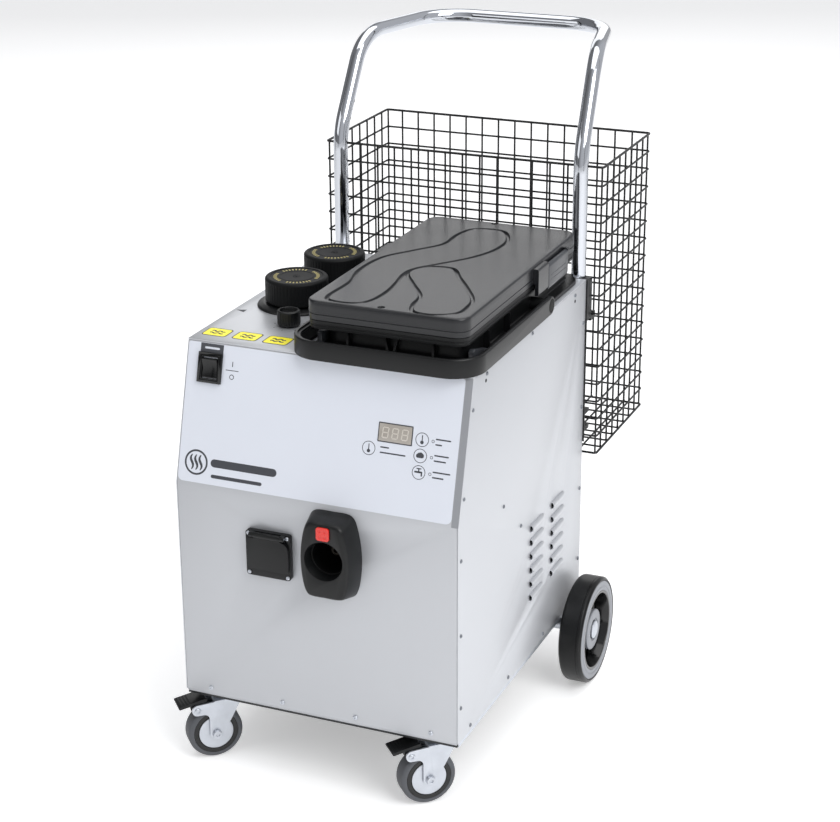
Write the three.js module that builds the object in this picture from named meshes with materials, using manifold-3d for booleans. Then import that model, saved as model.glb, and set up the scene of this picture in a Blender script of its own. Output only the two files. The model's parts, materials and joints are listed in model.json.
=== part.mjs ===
// Commercial steam cleaner with a vapour vacuum: a sheet-steel cabinet on two braked swivel casters and two
// fixed rear wheels, a lift-out recovery tank with its vacuum head, a push handle and a wire accessory basket.
//
// Millimetres, +Z up. The front panel, with the hose socket, faces -Y, and the recovery tank is towards +X. Sizes
// are given from three working planes: X from the cabinet's middle, Y from its lower front panel and Z from a level
// just above the floor. The group is then shifted so that the origin is at the middle of the machine's footprint,
// on the floor.

import * as THREE from "three";
import { mergeVertices } from "three/addons/utils/BufferGeometryUtils.js";
import Module from "manifold-3d";

const wasm = await Module();
wasm.setup();

// ---------------------------------------------------------------- driving dimensions

const GAP = 0.3; // between pieces that touch
const SHEET = 1.5; // cabinet steel
const FLOOR = -4; // where the floor lies in the working heights

const WIDTH = 380; // cabinet
const DEPTH = 458;
const TRAY_BOTTOM = 92;
const TRAY_TOP = 112;
const TRAY_SHEET = 2;
const CABINET_BOTTOM = 98;
const CREASE_Z = 389; // where the facia starts to lean back
const TOP_Z = 564;
const FACIA_SET_BACK = 48; // of the top edge behind the lower front panel
const LOUVRES = { columns: [252, 333], length: 50, height: 5, rows: 6, z: 184, pitch: 20 };
const GLAND = { x: -120, z: 140, nut: 17, stem: 12, bore: 5, reach: 26 };

const HANDLE_RADIUS = 10;
const HANDLE_WALL = 2;
const HANDLE_Y = 469.8;
const HANDLE_X = 175;
const HANDLE_TOP = 866;
const HANDLE_REACH = 712; // Y of the grip bar's axis
const HANDLE_KNEE = 731.5; // Z where the legs start to lean back
const RAIL = { x0: 152, x1: 192, bottom: 330, top: 563, depth: 478, clip: 58, lowClip: 40 };

const REAR_WHEEL = { radius: 75, width: 35, inner: 200, y: 409.5, z: FLOOR + 75, rim: 53.5, bore: 8 };
const CASTER = { x: 151, y: 37.5, angle: -137, trail: 20, radius: 36.5, z: FLOOR + 36.5, width: 25, axle: 4 };

const BASKET = { width: 404, depth: 208.4, height: 408, y: 483.2, z: 304.6, bar: 3.6 };
const BASKET_HOOK_Z = 506.4;
const BASKET_HOOK_LIP = 3.6; // how far the basket is lifted before it comes off its hooks
const BASKET_COLUMNS = 5;
const BASKET_ROWS = 5;
const BASKET_ROWS_DEEP = 3;

const FILLER = { x: -123, collar: 52, neck: 36, bore: 30, neckTop: 593, cap: 41, capTop: 603 };
const WATER_Y = 333;
const DETERGENT_Y = 218;
const KNOB = { x: -95, y: 137, radius: 15, top: 585 };

const HEAD = { x0: -34, x1: 177, y0: 56, y1: 457, z0: 606, z1: 630, corner: 18 };
const TANK = { x0: -18, x1: 170, y0: 80, y1: 445, z0: 345, corner: 18, wall: 3 };
const BAIL = { x0: -50.5, x1: 197, y0: 29, z0: 564.4, height: 24, band: 8, pivotY: 299.5, pivotZ: 576.4 };
const PIVOT_RADIUS = 9;

const SOCKET = { x: 26, z: 330.5, bore: 24, reach: 30 };
const OUTLET = { x: -60.5, z: 314, side: 60, reach: 7 };

const BOILER = { x: 88, y: 300, radius: 78, wall: 3, bottom: 94.6, top: 298 };
const STORAGE = { x0: -180, x1: -50, bottom: 94.4, top: 552, wall: 3 };
const PUMP = { x: -115, z: 128, radius: 26, y0: 40, y1: 150 };
const BOARD = { x0: -60, x1: 140, y: 52, thick: 1.6, z0: 405, z1: 525 };

// ---------------------------------------------------------------- solids from three.js geometry

function toSolid(geometry) {
  const bare = geometry.clone();
  bare.deleteAttribute("normal");
  bare.deleteAttribute("uv");
  const merged = mergeVertices(bare, 1e-4);
  return new wasm.Manifold(
    new wasm.Mesh({
      numProp: 3,
      vertProperties: merged.attributes.position.array,
      triVerts: new Uint32Array(merged.index.array),
    }),
  );
}

function toGeometry(solid) {
  const mesh = solid.getMesh();
  const geometry = new THREE.BufferGeometry();
  geometry.setAttribute("position", new THREE.BufferAttribute(mesh.vertProperties, 3));
  geometry.setIndex(new THREE.BufferAttribute(mesh.triVerts, 1));
  geometry.computeVertexNormals();
  return geometry;
}

function join(first, ...others) {
  return toGeometry(others.reduce((sum, other) => sum.add(toSolid(other)), toSolid(first)));
}

function cut(base, ...tools) {
  return toGeometry(tools.reduce((rest, tool) => rest.subtract(toSolid(tool)), toSolid(base)));
}

function common(first, second) {
  return toGeometry(toSolid(first).intersect(toSolid(second)));
}

function box(x0, x1, y0, y1, z0, z1) {
  const geometry = new THREE.BoxGeometry(x1 - x0, y1 - y0, z1 - z0);
  return geometry.translate((x0 + x1) / 2, (y0 + y1) / 2, (z0 + z1) / 2);
}

// A round bar along an axis, from one coordinate on that axis to another. The centre gives the other two.
function rod(axis, radius, from, to, centre, sides = 24) {
  const geometry = new THREE.CylinderGeometry(radius, radius, to - from, sides);
  const middle = new THREE.Vector3(...centre);
  middle[axis] = (from + to) / 2;
  if (axis === "x") geometry.rotateZ(Math.PI / 2);
  if (axis === "z") geometry.rotateX(Math.PI / 2);
  return geometry.translate(middle.x, middle.y, middle.z);
}

// A turned piece about an axis through the centre. A profile is a list of [radius, distance along the axis].
function turned(axis, profile, centre, sides = 32) {
  const points = profile.map(([radius, along]) => new THREE.Vector2(radius, along));
  const geometry = new THREE.LatheGeometry(points, sides);
  if (axis === "x") geometry.rotateZ(-Math.PI / 2);
  if (axis === "z") geometry.rotateX(Math.PI / 2);
  return geometry.translate(...centre);
}

const PLANES = {
  flat: new THREE.Matrix4(), // a shape in X and Y, thick along Z
  front: new THREE.Matrix4().makeBasis(axis(1, 0, 0), axis(0, 0, 1), axis(0, -1, 0)), // in X and Z
  side: new THREE.Matrix4().makeBasis(axis(0, 1, 0), axis(0, 0, 1), axis(1, 0, 0)), // in Y and Z
};

function axis(x, y, z) {
  return new THREE.Vector3(x, y, z);
}

// A flat shape given a thickness, from one coordinate to a larger one across its plane.
function slab(plane, shape, from, to, curveSegments = 6) {
  const options = { depth: to - from, bevelEnabled: false, curveSegments };
  const geometry = new THREE.ExtrudeGeometry(shape, options).applyMatrix4(PLANES[plane]);
  if (plane === "flat") return geometry.translate(0, 0, from);
  if (plane === "front") return geometry.translate(0, to, 0);
  return geometry.translate(from, 0, 0);
}

function polygon(points) {
  return new THREE.Shape(points.map(([u, v]) => new THREE.Vector2(u, v)));
}

function roundedRectangle(u0, u1, v0, v1, radius) {
  const shape = new THREE.Shape();
  shape.absarc(u1 - radius, v0 + radius, radius, -Math.PI / 2, 0);
  shape.absarc(u1 - radius, v1 - radius, radius, 0, Math.PI / 2);
  shape.absarc(u0 + radius, v1 - radius, radius, Math.PI / 2, Math.PI);
  shape.absarc(u0 + radius, v0 + radius, radius, Math.PI, 1.5 * Math.PI);
  return shape;
}

function circle(u, v, radius) {
  return new THREE.Path().absarc(u, v, radius, 0, 2 * Math.PI);
}

// ---------------------------------------------------------------- materials and placing

function material(color, roughness, metalness = 0) {
  return new THREE.MeshStandardMaterial({ color, roughness, metalness });
}

const STEEL = material(0xc4c7ca, 0.38, 0.9);
const TRAY_STEEL = material(0x3c3f42, 0.6, 0.6);
const ZINC = material(0xd5d9df, 0.42, 0.7);
const CHROME = material(0xe6e9ed, 0.08, 1);
const BLACK_PLASTIC = material(0x1c1d1f, 0.5);
const LID_PLASTIC = material(0x33363a, 0.42);
const RED_PLASTIC = material(0xd23b2f, 0.35);
const GREY_PLASTIC = material(0x6b6e72, 0.55);
const CLEAR_GREY = material(0xb9beb8, 0.25);
const NATURAL_PLASTIC = material(0xdedfd8, 0.5);
const BOARD_GREEN = material(0x1f5a3a, 0.5);
const BLACK_WIRE = material(0x161616, 0.45, 0.3);
const BLACK_RUBBER = material(0x151515, 0.85);
const GREY_RUBBER = material(0x5d5f62, 0.8);
const BRASS = material(0xb8964f, 0.35, 0.9);

const cleaner = new THREE.Group();

function add(name, geometry, colour, parent = cleaner) {
  const mesh = new THREE.Mesh(geometry, colour);
  mesh.name = name;
  parent.add(mesh);
  return mesh;
}

// The facia's own frame: X as the machine's, Z up the slope from the crease, -Y out of the panel.
const FACIA_SLOPE = Math.atan2(FACIA_SET_BACK, TOP_Z - CREASE_Z);
const facia = new THREE.Group();
facia.position.set(0, 0, CREASE_Z);
facia.rotation.x = -FACIA_SLOPE;
facia.updateMatrix();
cleaner.add(facia);

const SIDES = [
  ["left", -1],
  ["right", 1],
];

// ---------------------------------------------------------------- cabinet

const HALF = WIDTH / 2;
const BETWEEN_SIDES = HALF - SHEET - GAP; // half-width of what stands between the side panels
const PANEL_TOP = TOP_Z - SHEET - GAP; // the top panel lies over the other five
const DISPLAY = { x0: 77, x1: 119.4, v0: 91.2, v1: 112.5 };
const ROCKER = { x: -155.5, v: 148.5, halfWidth: 16.5, halfHeight: 19 };

function baseTray() {
  const half = BETWEEN_SIDES;
  const front = SHEET + GAP;
  const outer = box(-half, half, front, DEPTH - front, TRAY_BOTTOM, TRAY_TOP);
  const wall = TRAY_SHEET;
  const inside = [wall - half, half - wall, front + wall, DEPTH - front - wall];
  return cut(outer, box(...inside, TRAY_BOTTOM + wall, TRAY_TOP + wall));
}

function frontPanel() {
  const lean = FACIA_SET_BACK / (TOP_Z - CREASE_Z);
  const topY = (PANEL_TOP - CREASE_Z) * lean;
  const profile = polygon([
    [0, CABINET_BOTTOM],
    [SHEET, CABINET_BOTTOM],
    [SHEET, CREASE_Z],
    [topY + SHEET, PANEL_TOP],
    [topY, PANEL_TOP],
    [0, CREASE_Z],
  ]);
  const half = OUTLET.side / 2 - 6.5;
  const holes = [
    rod("y", 29.3, -5, 5, [SOCKET.x, 0, SOCKET.z]),
    box(OUTLET.x - half, OUTLET.x + half, -5, 5, OUTLET.z - half, OUTLET.z + half),
    box(DISPLAY.x0 - 0.3, DISPLAY.x1 + 0.3, -5, 8, DISPLAY.v0 - 0.3, DISPLAY.v1 + 0.3).applyMatrix4(facia.matrix),
    box(ROCKER.x - 13, ROCKER.x + 13, -5, 8, ROCKER.v - 16, ROCKER.v + 16).applyMatrix4(facia.matrix),
  ];
  return cut(slab("side", profile, -BETWEEN_SIDES, BETWEEN_SIDES), ...holes);
}

function sidePanel(side) {
  const shape = polygon([
    [0, CABINET_BOTTOM],
    [DEPTH, CABINET_BOTTOM],
    [DEPTH, PANEL_TOP],
    [FACIA_SET_BACK, PANEL_TOP],
    [0, CREASE_Z],
  ]);
  const slots = [];
  const { columns, rows, length, height } = LOUVRES;
  for (const y of columns) {
    for (let row = 0; row < rows; row++) {
      const z = LOUVRES.z + LOUVRES.pitch * row;
      slots.push(box(-HALF - 5, HALF + 5, y, y + length, z - height / 2, z + height / 2));
    }
  }
  const [from, to] = side > 0 ? [HALF - SHEET, HALF] : [-HALF, SHEET - HALF];
  return cut(slab("side", shape, from, to), ...slots);
}

function rearPanel() {
  const shape = polygon([
    [-BETWEEN_SIDES, CABINET_BOTTOM],
    [BETWEEN_SIDES, CABINET_BOTTOM],
    [BETWEEN_SIDES, PANEL_TOP],
    [-BETWEEN_SIDES, PANEL_TOP],
  ]);
  shape.holes.push(circle(GLAND.x, GLAND.z, GLAND.stem + 0.5));
  return slab("front", shape, DEPTH - SHEET, DEPTH, 12);
}

function topPanel() {
  const shape = polygon([
    [-HALF, FACIA_SET_BACK - 0.5],
    [HALF, FACIA_SET_BACK - 0.5],
    [HALF, DEPTH],
    [-HALF, DEPTH],
  ]);
  const well = 3; // clearance round the recovery tank
  const outline = [TANK.x0 - well, TANK.x1 + well, TANK.y0 - well, TANK.y1 + well, TANK.corner];
  shape.holes.push(roundedRectangle(...outline));
  const sheet = slab("flat", shape, TOP_Z - SHEET, TOP_Z, 3);
  const holes = [
    rod("z", FILLER.neck + 1, 550, 570, [FILLER.x, WATER_Y, 0]),
    rod("z", FILLER.neck + 1, 550, 570, [FILLER.x, DETERGENT_Y, 0]),
    rod("z", 5, 550, 570, [KNOB.x, KNOB.y, 0], 12),
  ];
  return cut(sheet, ...holes);
}

function cableGland() {
  const { x, z, nut, stem, bore, reach } = GLAND;
  const centre = [x, 0, z];
  const collar = rod("y", nut, DEPTH + GAP, DEPTH + 14, centre, 6);
  const barrel = rod("y", stem, DEPTH - 10, DEPTH + reach, centre, 16);
  return cut(join(collar, barrel), rod("y", bore, DEPTH - 20, DEPTH + reach + 10, centre, 10));
}

function addCabinet() {
  add("base_tray", baseTray(), TRAY_STEEL);
  add("front_panel", frontPanel(), STEEL);
  for (const [name, side] of SIDES) add(`${name}_side_panel`, sidePanel(side), STEEL);
  add("rear_panel", rearPanel(), STEEL);
  add("top_panel", topPanel(), STEEL);
  add("cable_gland", cableGland(), BLACK_PLASTIC);
}

// ---------------------------------------------------------------- facia controls

function rockerBezel() {
  const { x, v, halfWidth, halfHeight } = ROCKER;
  const flange = box(x - halfWidth, x + halfWidth, -4, -GAP, v - halfHeight, v + halfHeight);
  const housing = box(x - 12.5, x + 12.5, -2, 20, v - 15.5, v + 15.5);
  const pocket = box(x - 10.5, x + 10.5, -6, 12, v - 13.5, v + 13.5);
  return cut(join(flange, housing), pocket);
}

function addRockerSwitch() {
  add("rocker_bezel", rockerBezel(), BLACK_PLASTIC, facia);
  const pivot = new THREE.Group();
  pivot.position.set(ROCKER.x, 1, ROCKER.v);
  pivot.rotation.x = THREE.MathUtils.degToRad(8); // half of its throw
  facia.add(pivot);
  const profile = polygon([
    [-6, 11.8],
    [-3.4, 0],
    [-6, -11.8],
    [0, -12.2],
    [7, -8],
    [7, 8],
    [0, 12.2],
  ]);
  add("rocker_switch", slab("side", profile, -10.2, 10.2), BLACK_PLASTIC, pivot);
}

function addDisplay() {
  const window = box(DISPLAY.x0, DISPLAY.x1, -1.2, 1.3, DISPLAY.v0, DISPLAY.v1);
  add("display_window", window, CLEAR_GREY, facia);
}

function addControlBoard() {
  const { x0, x1, y, thick, z0, z1 } = BOARD;
  add("control_board", box(x0, x1, y, y + thick, z0, z1), BOARD_GREEN);
}

// ---------------------------------------------------------------- accessory outlet with its flap

const FLAP_HINGE = { y: -11, z: OUTLET.z + 27, x0: OUTLET.x - 17.5, x1: OUTLET.x + 19.5 };

function outletFrame() {
  const half = OUTLET.side / 2;
  const { x, z, reach } = OUTLET;
  const outline = roundedRectangle(x - half, x + half, z - half, z + half, 4);
  const flange = slab("front", outline, -reach, -GAP, 3);
  const back = box(x - 23, x + 23, -2, 34, z - 23, z + 23);
  const recess = box(x - 19, x + 19, -reach - 1, 24, z - 19, z + 17);
  const ears = [];
  for (const [from, to] of [
    [FLAP_HINGE.x0 - 6, FLAP_HINGE.x0 - GAP],
    [FLAP_HINGE.x1 + GAP, FLAP_HINGE.x1 + 6],
  ]) {
    ears.push(rod("x", 3.6, from, to, [0, FLAP_HINGE.y, FLAP_HINGE.z], 12));
    ears.push(box(from, to, FLAP_HINGE.y, -5, FLAP_HINGE.z - 3.4, FLAP_HINGE.z + 3.4));
  }
  const pinHole = rod("x", 2, x - 40, x + 40, [0, FLAP_HINGE.y, FLAP_HINGE.z], 10);
  return cut(join(cut(join(flange, back), recess), ...ears), pinHole);
}

function outletLid() {
  const outline = roundedRectangle(OUTLET.x - 27.5, OUTLET.x + 29.5, OUTLET.z - 19, FLAP_HINGE.z - 4.5, 5);
  const flap = slab("front", outline, -12, -7.5, 4);
  const knuckle = rod("x", 3.6, FLAP_HINGE.x0, FLAP_HINGE.x1, [0, FLAP_HINGE.y, FLAP_HINGE.z], 12);
  const web = box(FLAP_HINGE.x0, FLAP_HINGE.x1, -12, -8.3, FLAP_HINGE.z - 6, FLAP_HINGE.z - 2);
  const pinHole = rod("x", 2, OUTLET.x - 40, OUTLET.x + 40, [0, FLAP_HINGE.y, FLAP_HINGE.z], 10);
  return cut(join(flap, knuckle, web), pinHole);
}

function addOutlet() {
  add("outlet_frame", outletFrame(), BLACK_PLASTIC);
  add("outlet_lid", outletLid(), BLACK_PLASTIC);
  const centre = [0, FLAP_HINGE.y, FLAP_HINGE.z];
  add("outlet_hinge_pin", rod("x", 1.7, FLAP_HINGE.x0 - 6, FLAP_HINGE.x1 + 6, centre, 12), ZINC);
}

// ---------------------------------------------------------------- hose socket

function socketOutline() {
  const shape = new THREE.Shape();
  shape.moveTo(SOCKET.x - 22, 274);
  shape.lineTo(SOCKET.x + 22, 274);
  shape.quadraticCurveTo(SOCKET.x + 32, 274, SOCKET.x + 34, 286);
  shape.quadraticCurveTo(SOCKET.x + 45, 328, SOCKET.x + 32, 374);
  shape.quadraticCurveTo(SOCKET.x + 29, 385, SOCKET.x + 19, 385);
  shape.lineTo(SOCKET.x - 19, 385);
  shape.quadraticCurveTo(SOCKET.x - 29, 385, SOCKET.x - 32, 374);
  shape.quadraticCurveTo(SOCKET.x - 45, 328, SOCKET.x - 34, 286);
  shape.quadraticCurveTo(SOCKET.x - 32, 274, SOCKET.x - 22, 274);
  return shape;
}

// The housing narrows from the panel to its face.
const DRAFT = { across: 0.83, up: 0.88, about: 331 };

function drafted(geometry) {
  const places = geometry.getAttribute("position");
  for (let i = 0; i < places.count; i++) {
    const share = -places.getY(i) / SOCKET.reach;
    const across = 1 - (1 - DRAFT.across) * share;
    const up = 1 - (1 - DRAFT.up) * share;
    places.setX(i, SOCKET.x + (places.getX(i) - SOCKET.x) * across);
    places.setZ(i, DRAFT.about + (places.getZ(i) - DRAFT.about) * up);
  }
  return geometry;
}

function hoseSocket() {
  const centre = [SOCKET.x, 0, SOCKET.z];
  const shell = drafted(slab("front", socketOutline(), -SOCKET.reach, -GAP, 5));
  const sleeve = rod("y", 29, -3, 40, centre, 32);
  const bore = rod("y", SOCKET.bore, -SOCKET.reach - 1, 41, centre, 32);
  const button = box(SOCKET.x - 9, SOCKET.x + 9, -SOCKET.reach - 1, -2, 358, 376);
  return cut(join(shell, sleeve), bore, button);
}

function releaseButton() {
  const outline = roundedRectangle(SOCKET.x - 8.5, SOCKET.x + 8.5, 358.5, 375.5, 3);
  return slab("front", outline, -SOCKET.reach - 2, -8, 3);
}

function steamCoupling() {
  const flangeRadius = SOCKET.bore - GAP;
  return turned("y", [
    [3, 5],
    [6, 5],
    [6, 30],
    [flangeRadius, 30],
    [flangeRadius, 40],
    [8, 40],
    [8, 50],
    [3, 50],
    [3, 5],
  ], [SOCKET.x, 0, SOCKET.z], 20);
}

function addHoseSocket() {
  add("hose_socket", hoseSocket(), BLACK_PLASTIC);
  add("hose_release_button", releaseButton(), RED_PLASTIC);
  add("steam_coupling", steamCoupling(), BRASS);
}

// ---------------------------------------------------------------- fillers, caps and valve knob

function fillerNeck(y) {
  const { neck, neckTop, bore, collar } = FILLER;
  return turned("z", [
    [bore, 540],
    [neck, 540],
    [neck, TOP_Z + GAP],
    [collar, TOP_Z + GAP],
    [collar - 3, TOP_Z + 6],
    [neck, TOP_Z + 6],
    [neck, neckTop],
    [bore, neckTop],
    [bore, 540],
  ], [FILLER.x, y, 0], 24);
}

function fillerCap(y) {
  const { neck, cap, capTop } = FILLER;
  return turned("z", [
    [neck + 1, TOP_Z + 8],
    [cap, TOP_Z + 8],
    [cap, capTop - 3],
    [cap - 3, capTop],
    [0, capTop],
    [0, capTop - 6],
    [neck + 1, capTop - 6],
    [neck + 1, TOP_Z + 8],
  ], [FILLER.x, y, 0], 24);
}

function gasket(y) {
  const { neck, neckTop, bore, capTop } = FILLER;
  return turned("z", [
    [bore + 1, neckTop + GAP],
    [neck, neckTop + GAP],
    [neck, capTop - 6 - GAP],
    [bore + 1, capTop - 6 - GAP],
    [bore + 1, neckTop + GAP],
  ], [FILLER.x, y, 0], 24);
}

function addFillers() {
  for (const [name, y] of [["water", WATER_Y], ["detergent", DETERGENT_Y]]) {
    add(`${name}_filler_neck`, fillerNeck(y), BLACK_PLASTIC);
    add(`${name}_cap`, fillerCap(y), BLACK_PLASTIC);
    add(`${name}_cap_gasket`, gasket(y), BLACK_RUBBER);
  }
}

function controlKnob() {
  const { x, y, radius, top } = KNOB;
  return turned("z", [
    [0, TOP_Z - 12],
    [3.5, TOP_Z - 12],
    [3.5, TOP_Z + 2],
    [radius, TOP_Z + 2],
    [radius, top - 1.5],
    [radius - 1.5, top],
    [radius - 4.5, top],
    [radius - 4.5, top - 5],
    [0, top - 5],
  ], [x, y, 0], 18);
}

function detergentValve() {
  const { x, y } = KNOB;
  return turned("z", [
    [0, 515],
    [16, 515],
    [16, TOP_Z - SHEET - GAP],
    [4, TOP_Z - SHEET - GAP],
    [4, TOP_Z - 13],
    [0, TOP_Z - 13],
  ], [x, y, 0], 16);
}

function addValve() {
  add("control_knob", controlKnob(), BLACK_PLASTIC);
  add("detergent_valve", detergentValve(), BRASS);
}

// ---------------------------------------------------------------- recovery tank, vacuum head and carry handle

function recoveryTank() {
  const { x0, x1, y0, y1, z0, corner, wall } = TANK;
  const rimZ = HEAD.z0 - GAP;
  const outline = (grow, radius) => roundedRectangle(x0 - grow, x1 + grow, y0 - grow, y1 + grow, radius);
  const body = slab("flat", outline(0, corner), z0, rimZ, 2);
  const flange = slab("flat", roundedRectangle(-32, 184, 62, 452, 24), TOP_Z + GAP, 570, 3);
  const rim = slab("flat", roundedRectangle(HEAD.x0 + 1, HEAD.x1 - 1, HEAD.y0 + 1, HEAD.y1 - 1, 21), 595, rimZ, 3);
  const cavity = slab("flat", outline(-wall, corner - wall), z0 + wall, rimZ + 5, 2);
  const trunnions = rod("x", PIVOT_RADIUS, BAIL.x0 + 0.5, BAIL.x1 - 0.5, [0, BAIL.pivotY, BAIL.pivotZ]);
  return cut(join(body, flange, rim, trunnions), cavity);
}

function vacuumHead() {
  const { x0, x1, y0, y1, z0, z1, corner } = HEAD;
  const wall = 4;
  const outer = slab("flat", roundedRectangle(x0, x1, y0, y1, corner), z0, z1, 4);
  const inner = roundedRectangle(x0 + wall, x1 - wall, y0 + wall, y1 - wall, corner - wall);
  const lugs = [];
  for (const [from, to] of [[x0 - 7.5, x0 + 1], [x1 - 1, x1 + 7.5]]) {
    lugs.push(box(from, to, LATCH.housing, LATCH.y0 - GAP, z0 + 1, 627));
    lugs.push(box(from, to, LATCH.y1 + GAP, LATCH.y1 + 6, 614, 624));
  }
  return cut(join(outer, ...lugs), slab("flat", inner, z0 - 5, z1 - wall, 3));
}

function vacuumMotor() {
  const middle = [(HEAD.x0 + HEAD.x1) / 2, 262, 0];
  return turned("z", [
    [0, 505],
    [50, 505],
    [60, 515],
    [60, 565],
    [48, 572],
    [48, 620],
    [20, 625.5],
    [0, 625.5],
  ], middle, 20);
}

// The latch hangs from the head's side and hooks under the tank's rim.
const LATCH = { housing: 258, y0: 322, y1: 396, pivotX: HEAD.x1 + 4, pivotZ: 619, radius: 4 };

function latch(side) {
  const { y0, y1, pivotX, pivotZ, radius } = LATCH;
  const middle = (HEAD.x0 + HEAD.x1) / 2;
  const across = (x) => (side > 0 ? x : 2 * middle - x);
  const shape = new THREE.Shape();
  shape.moveTo(pivotX - 9, 590.5);
  shape.lineTo(pivotX + 1, 589.5);
  shape.quadraticCurveTo(pivotX + radius, 590, pivotX + radius, 596);
  shape.lineTo(pivotX + radius, pivotZ);
  shape.absarc(pivotX, pivotZ, radius, 0, 0.9 * Math.PI);
  shape.lineTo(pivotX - 1.5, pivotZ - 5);
  shape.lineTo(pivotX - 1.5, 594.4);
  shape.lineTo(pivotX - 9, 594.4);
  const geometry = slab("front", shape, y0, y1);
  if (side > 0) return geometry;
  geometry.applyMatrix4(new THREE.Matrix4().makeRotationZ(Math.PI));
  return geometry.translate(across(0), y0 + y1, 0);
}

function carryHandle() {
  const { x0, x1, y0, z0, height, band, pivotY, pivotZ } = BAIL;
  const back = pivotY + 60;
  const outer = roundedRectangle(x0, x1, y0, back, 40);
  outer.holes.push(roundedRectangle(x0 + band, x1 - band, y0 + band + 2, back - 20, 32));
  const loop = slab("flat", outer, z0, z0 + height, 4);
  const end = height / 2;
  const arm = new THREE.Shape();
  arm.moveTo(y0 - 5, z0);
  arm.lineTo(pivotY, z0);
  arm.absarc(pivotY, pivotZ, end, -Math.PI / 2, Math.PI / 2);
  arm.lineTo(y0 - 5, z0 + height);
  const bearing = rod("x", PIVOT_RADIUS + GAP, x0 - 5, x1 + 5, [0, pivotY, pivotZ]);
  return cut(common(loop, slab("side", arm, x0 - 5, x1 + 5, 4)), bearing);
}

function addVacuum() {
  add("recovery_tank", recoveryTank(), BLACK_PLASTIC);
  add("vacuum_head", vacuumHead(), LID_PLASTIC);
  add("vacuum_motor", vacuumMotor(), GREY_PLASTIC);
  for (const [name, side] of SIDES) add(`tank_latch_${name}`, latch(side), LID_PLASTIC);
  add("tank_carry_handle", carryHandle(), LID_PLASTIC);
}

// ---------------------------------------------------------------- push handle and its rails

// The tube's centre line: straight stretches with an eased corner at each bend point.
function handleLine() {
  const bar = HANDLE_TOP - HANDLE_RADIUS;
  const half = [
    { at: [HANDLE_X, HANDLE_Y, 320], ease: 0 },
    { at: [HANDLE_X, HANDLE_Y, HANDLE_KNEE], ease: 14 },
    { at: [170, 539, bar], ease: 42 },
    { at: [128, HANDLE_REACH, bar], ease: 58 },
  ];
  const mirrored = half.map(({ at: [x, y, z], ease }) => ({ at: [-x, y, z], ease })).reverse();
  const stops = [...half, ...mirrored].map(({ at, ease }) => ({ at: axis(...at), ease }));
  const line = new THREE.CurvePath();
  let start = stops[0].at;
  for (let i = 1; i < stops.length; i++) {
    const { at, ease } = stops[i];
    const before = stops[i - 1].at.clone().sub(at).setLength(ease).add(at);
    line.add(new THREE.LineCurve3(start, before));
    if (ease === 0) break;
    const after = stops[i + 1].at.clone().sub(at).setLength(ease).add(at);
    line.add(new THREE.QuadraticBezierCurve3(before, at, after));
    start = after;
  }
  return line;
}

function pushHandle() {
  const section = new THREE.Shape().absarc(0, 0, HANDLE_RADIUS, 0, 2 * Math.PI);
  section.holes.push(circle(0, 0, HANDLE_RADIUS - HANDLE_WALL));
  return new THREE.ExtrudeGeometry(section, { steps: 52, curveSegments: 4, extrudePath: handleLine() });
}

// A rail behind the rear panel clips the tube at two heights and carries a hook for the basket.
function handleRail(side) {
  const { x0, x1, bottom, top, depth, clip, lowClip } = RAIL;
  const y0 = DEPTH + GAP;
  const strip = box(x0, x1, y0, y0 + 1.4, bottom, top);
  const clips = [
    box(x0, x1, y0, depth, top - clip, top),
    box(x0, x1, y0, depth, bottom + 5, bottom + 5 + lowClip),
  ];
  const hookBottom = BASKET_HOOK_Z - 6;
  const hook = [
    box(x1 - 5, x1, depth - 2, depth + 16, hookBottom, BASKET_HOOK_Z),
    box(x1 - 5, x1, depth + 10, depth + 16, hookBottom, BASKET_HOOK_Z + BASKET_HOOK_LIP),
  ];
  const tube = rod("z", HANDLE_RADIUS + GAP, 300, 600, [HANDLE_X, HANDLE_Y, 0]);
  const rail = cut(join(strip, ...clips, ...hook), tube);
  if (side > 0) return rail;
  return toGeometry(toSolid(rail).mirror([1, 0, 0]));
}

function addHandle() {
  add("push_handle", pushHandle(), CHROME);
  for (const [name, side] of SIDES) add(`handle_rail_${name}`, handleRail(side), BLACK_PLASTIC);
}

// ---------------------------------------------------------------- wire basket

// A flat grille of crossing bars between two corners, in any plane.
function grille(plane, u0, u1, v0, v1, columns, rows, from) {
  const { bar } = BASKET;
  const stepU = (u1 - u0 - bar) / columns;
  const stepV = (v1 - v0 - bar) / rows;
  const block = (a0, a1, b0, b1, back, front) => {
    const corners = [[a0, b0], [a1, b0], [a1, b1], [a0, b1]];
    return slab(plane, polygon(corners), back, front);
  };
  const cells = [];
  for (let i = 0; i < columns; i++) {
    for (let j = 0; j < rows; j++) {
      const u = u0 + bar + i * stepU;
      const v = v0 + bar + j * stepV;
      cells.push(block(u, u + stepU - bar, v, v + stepV - bar, from - 2, from + bar + 2));
    }
  }
  return cut(block(u0, u1, v0, v1, from, from + bar), ...cells);
}

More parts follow.
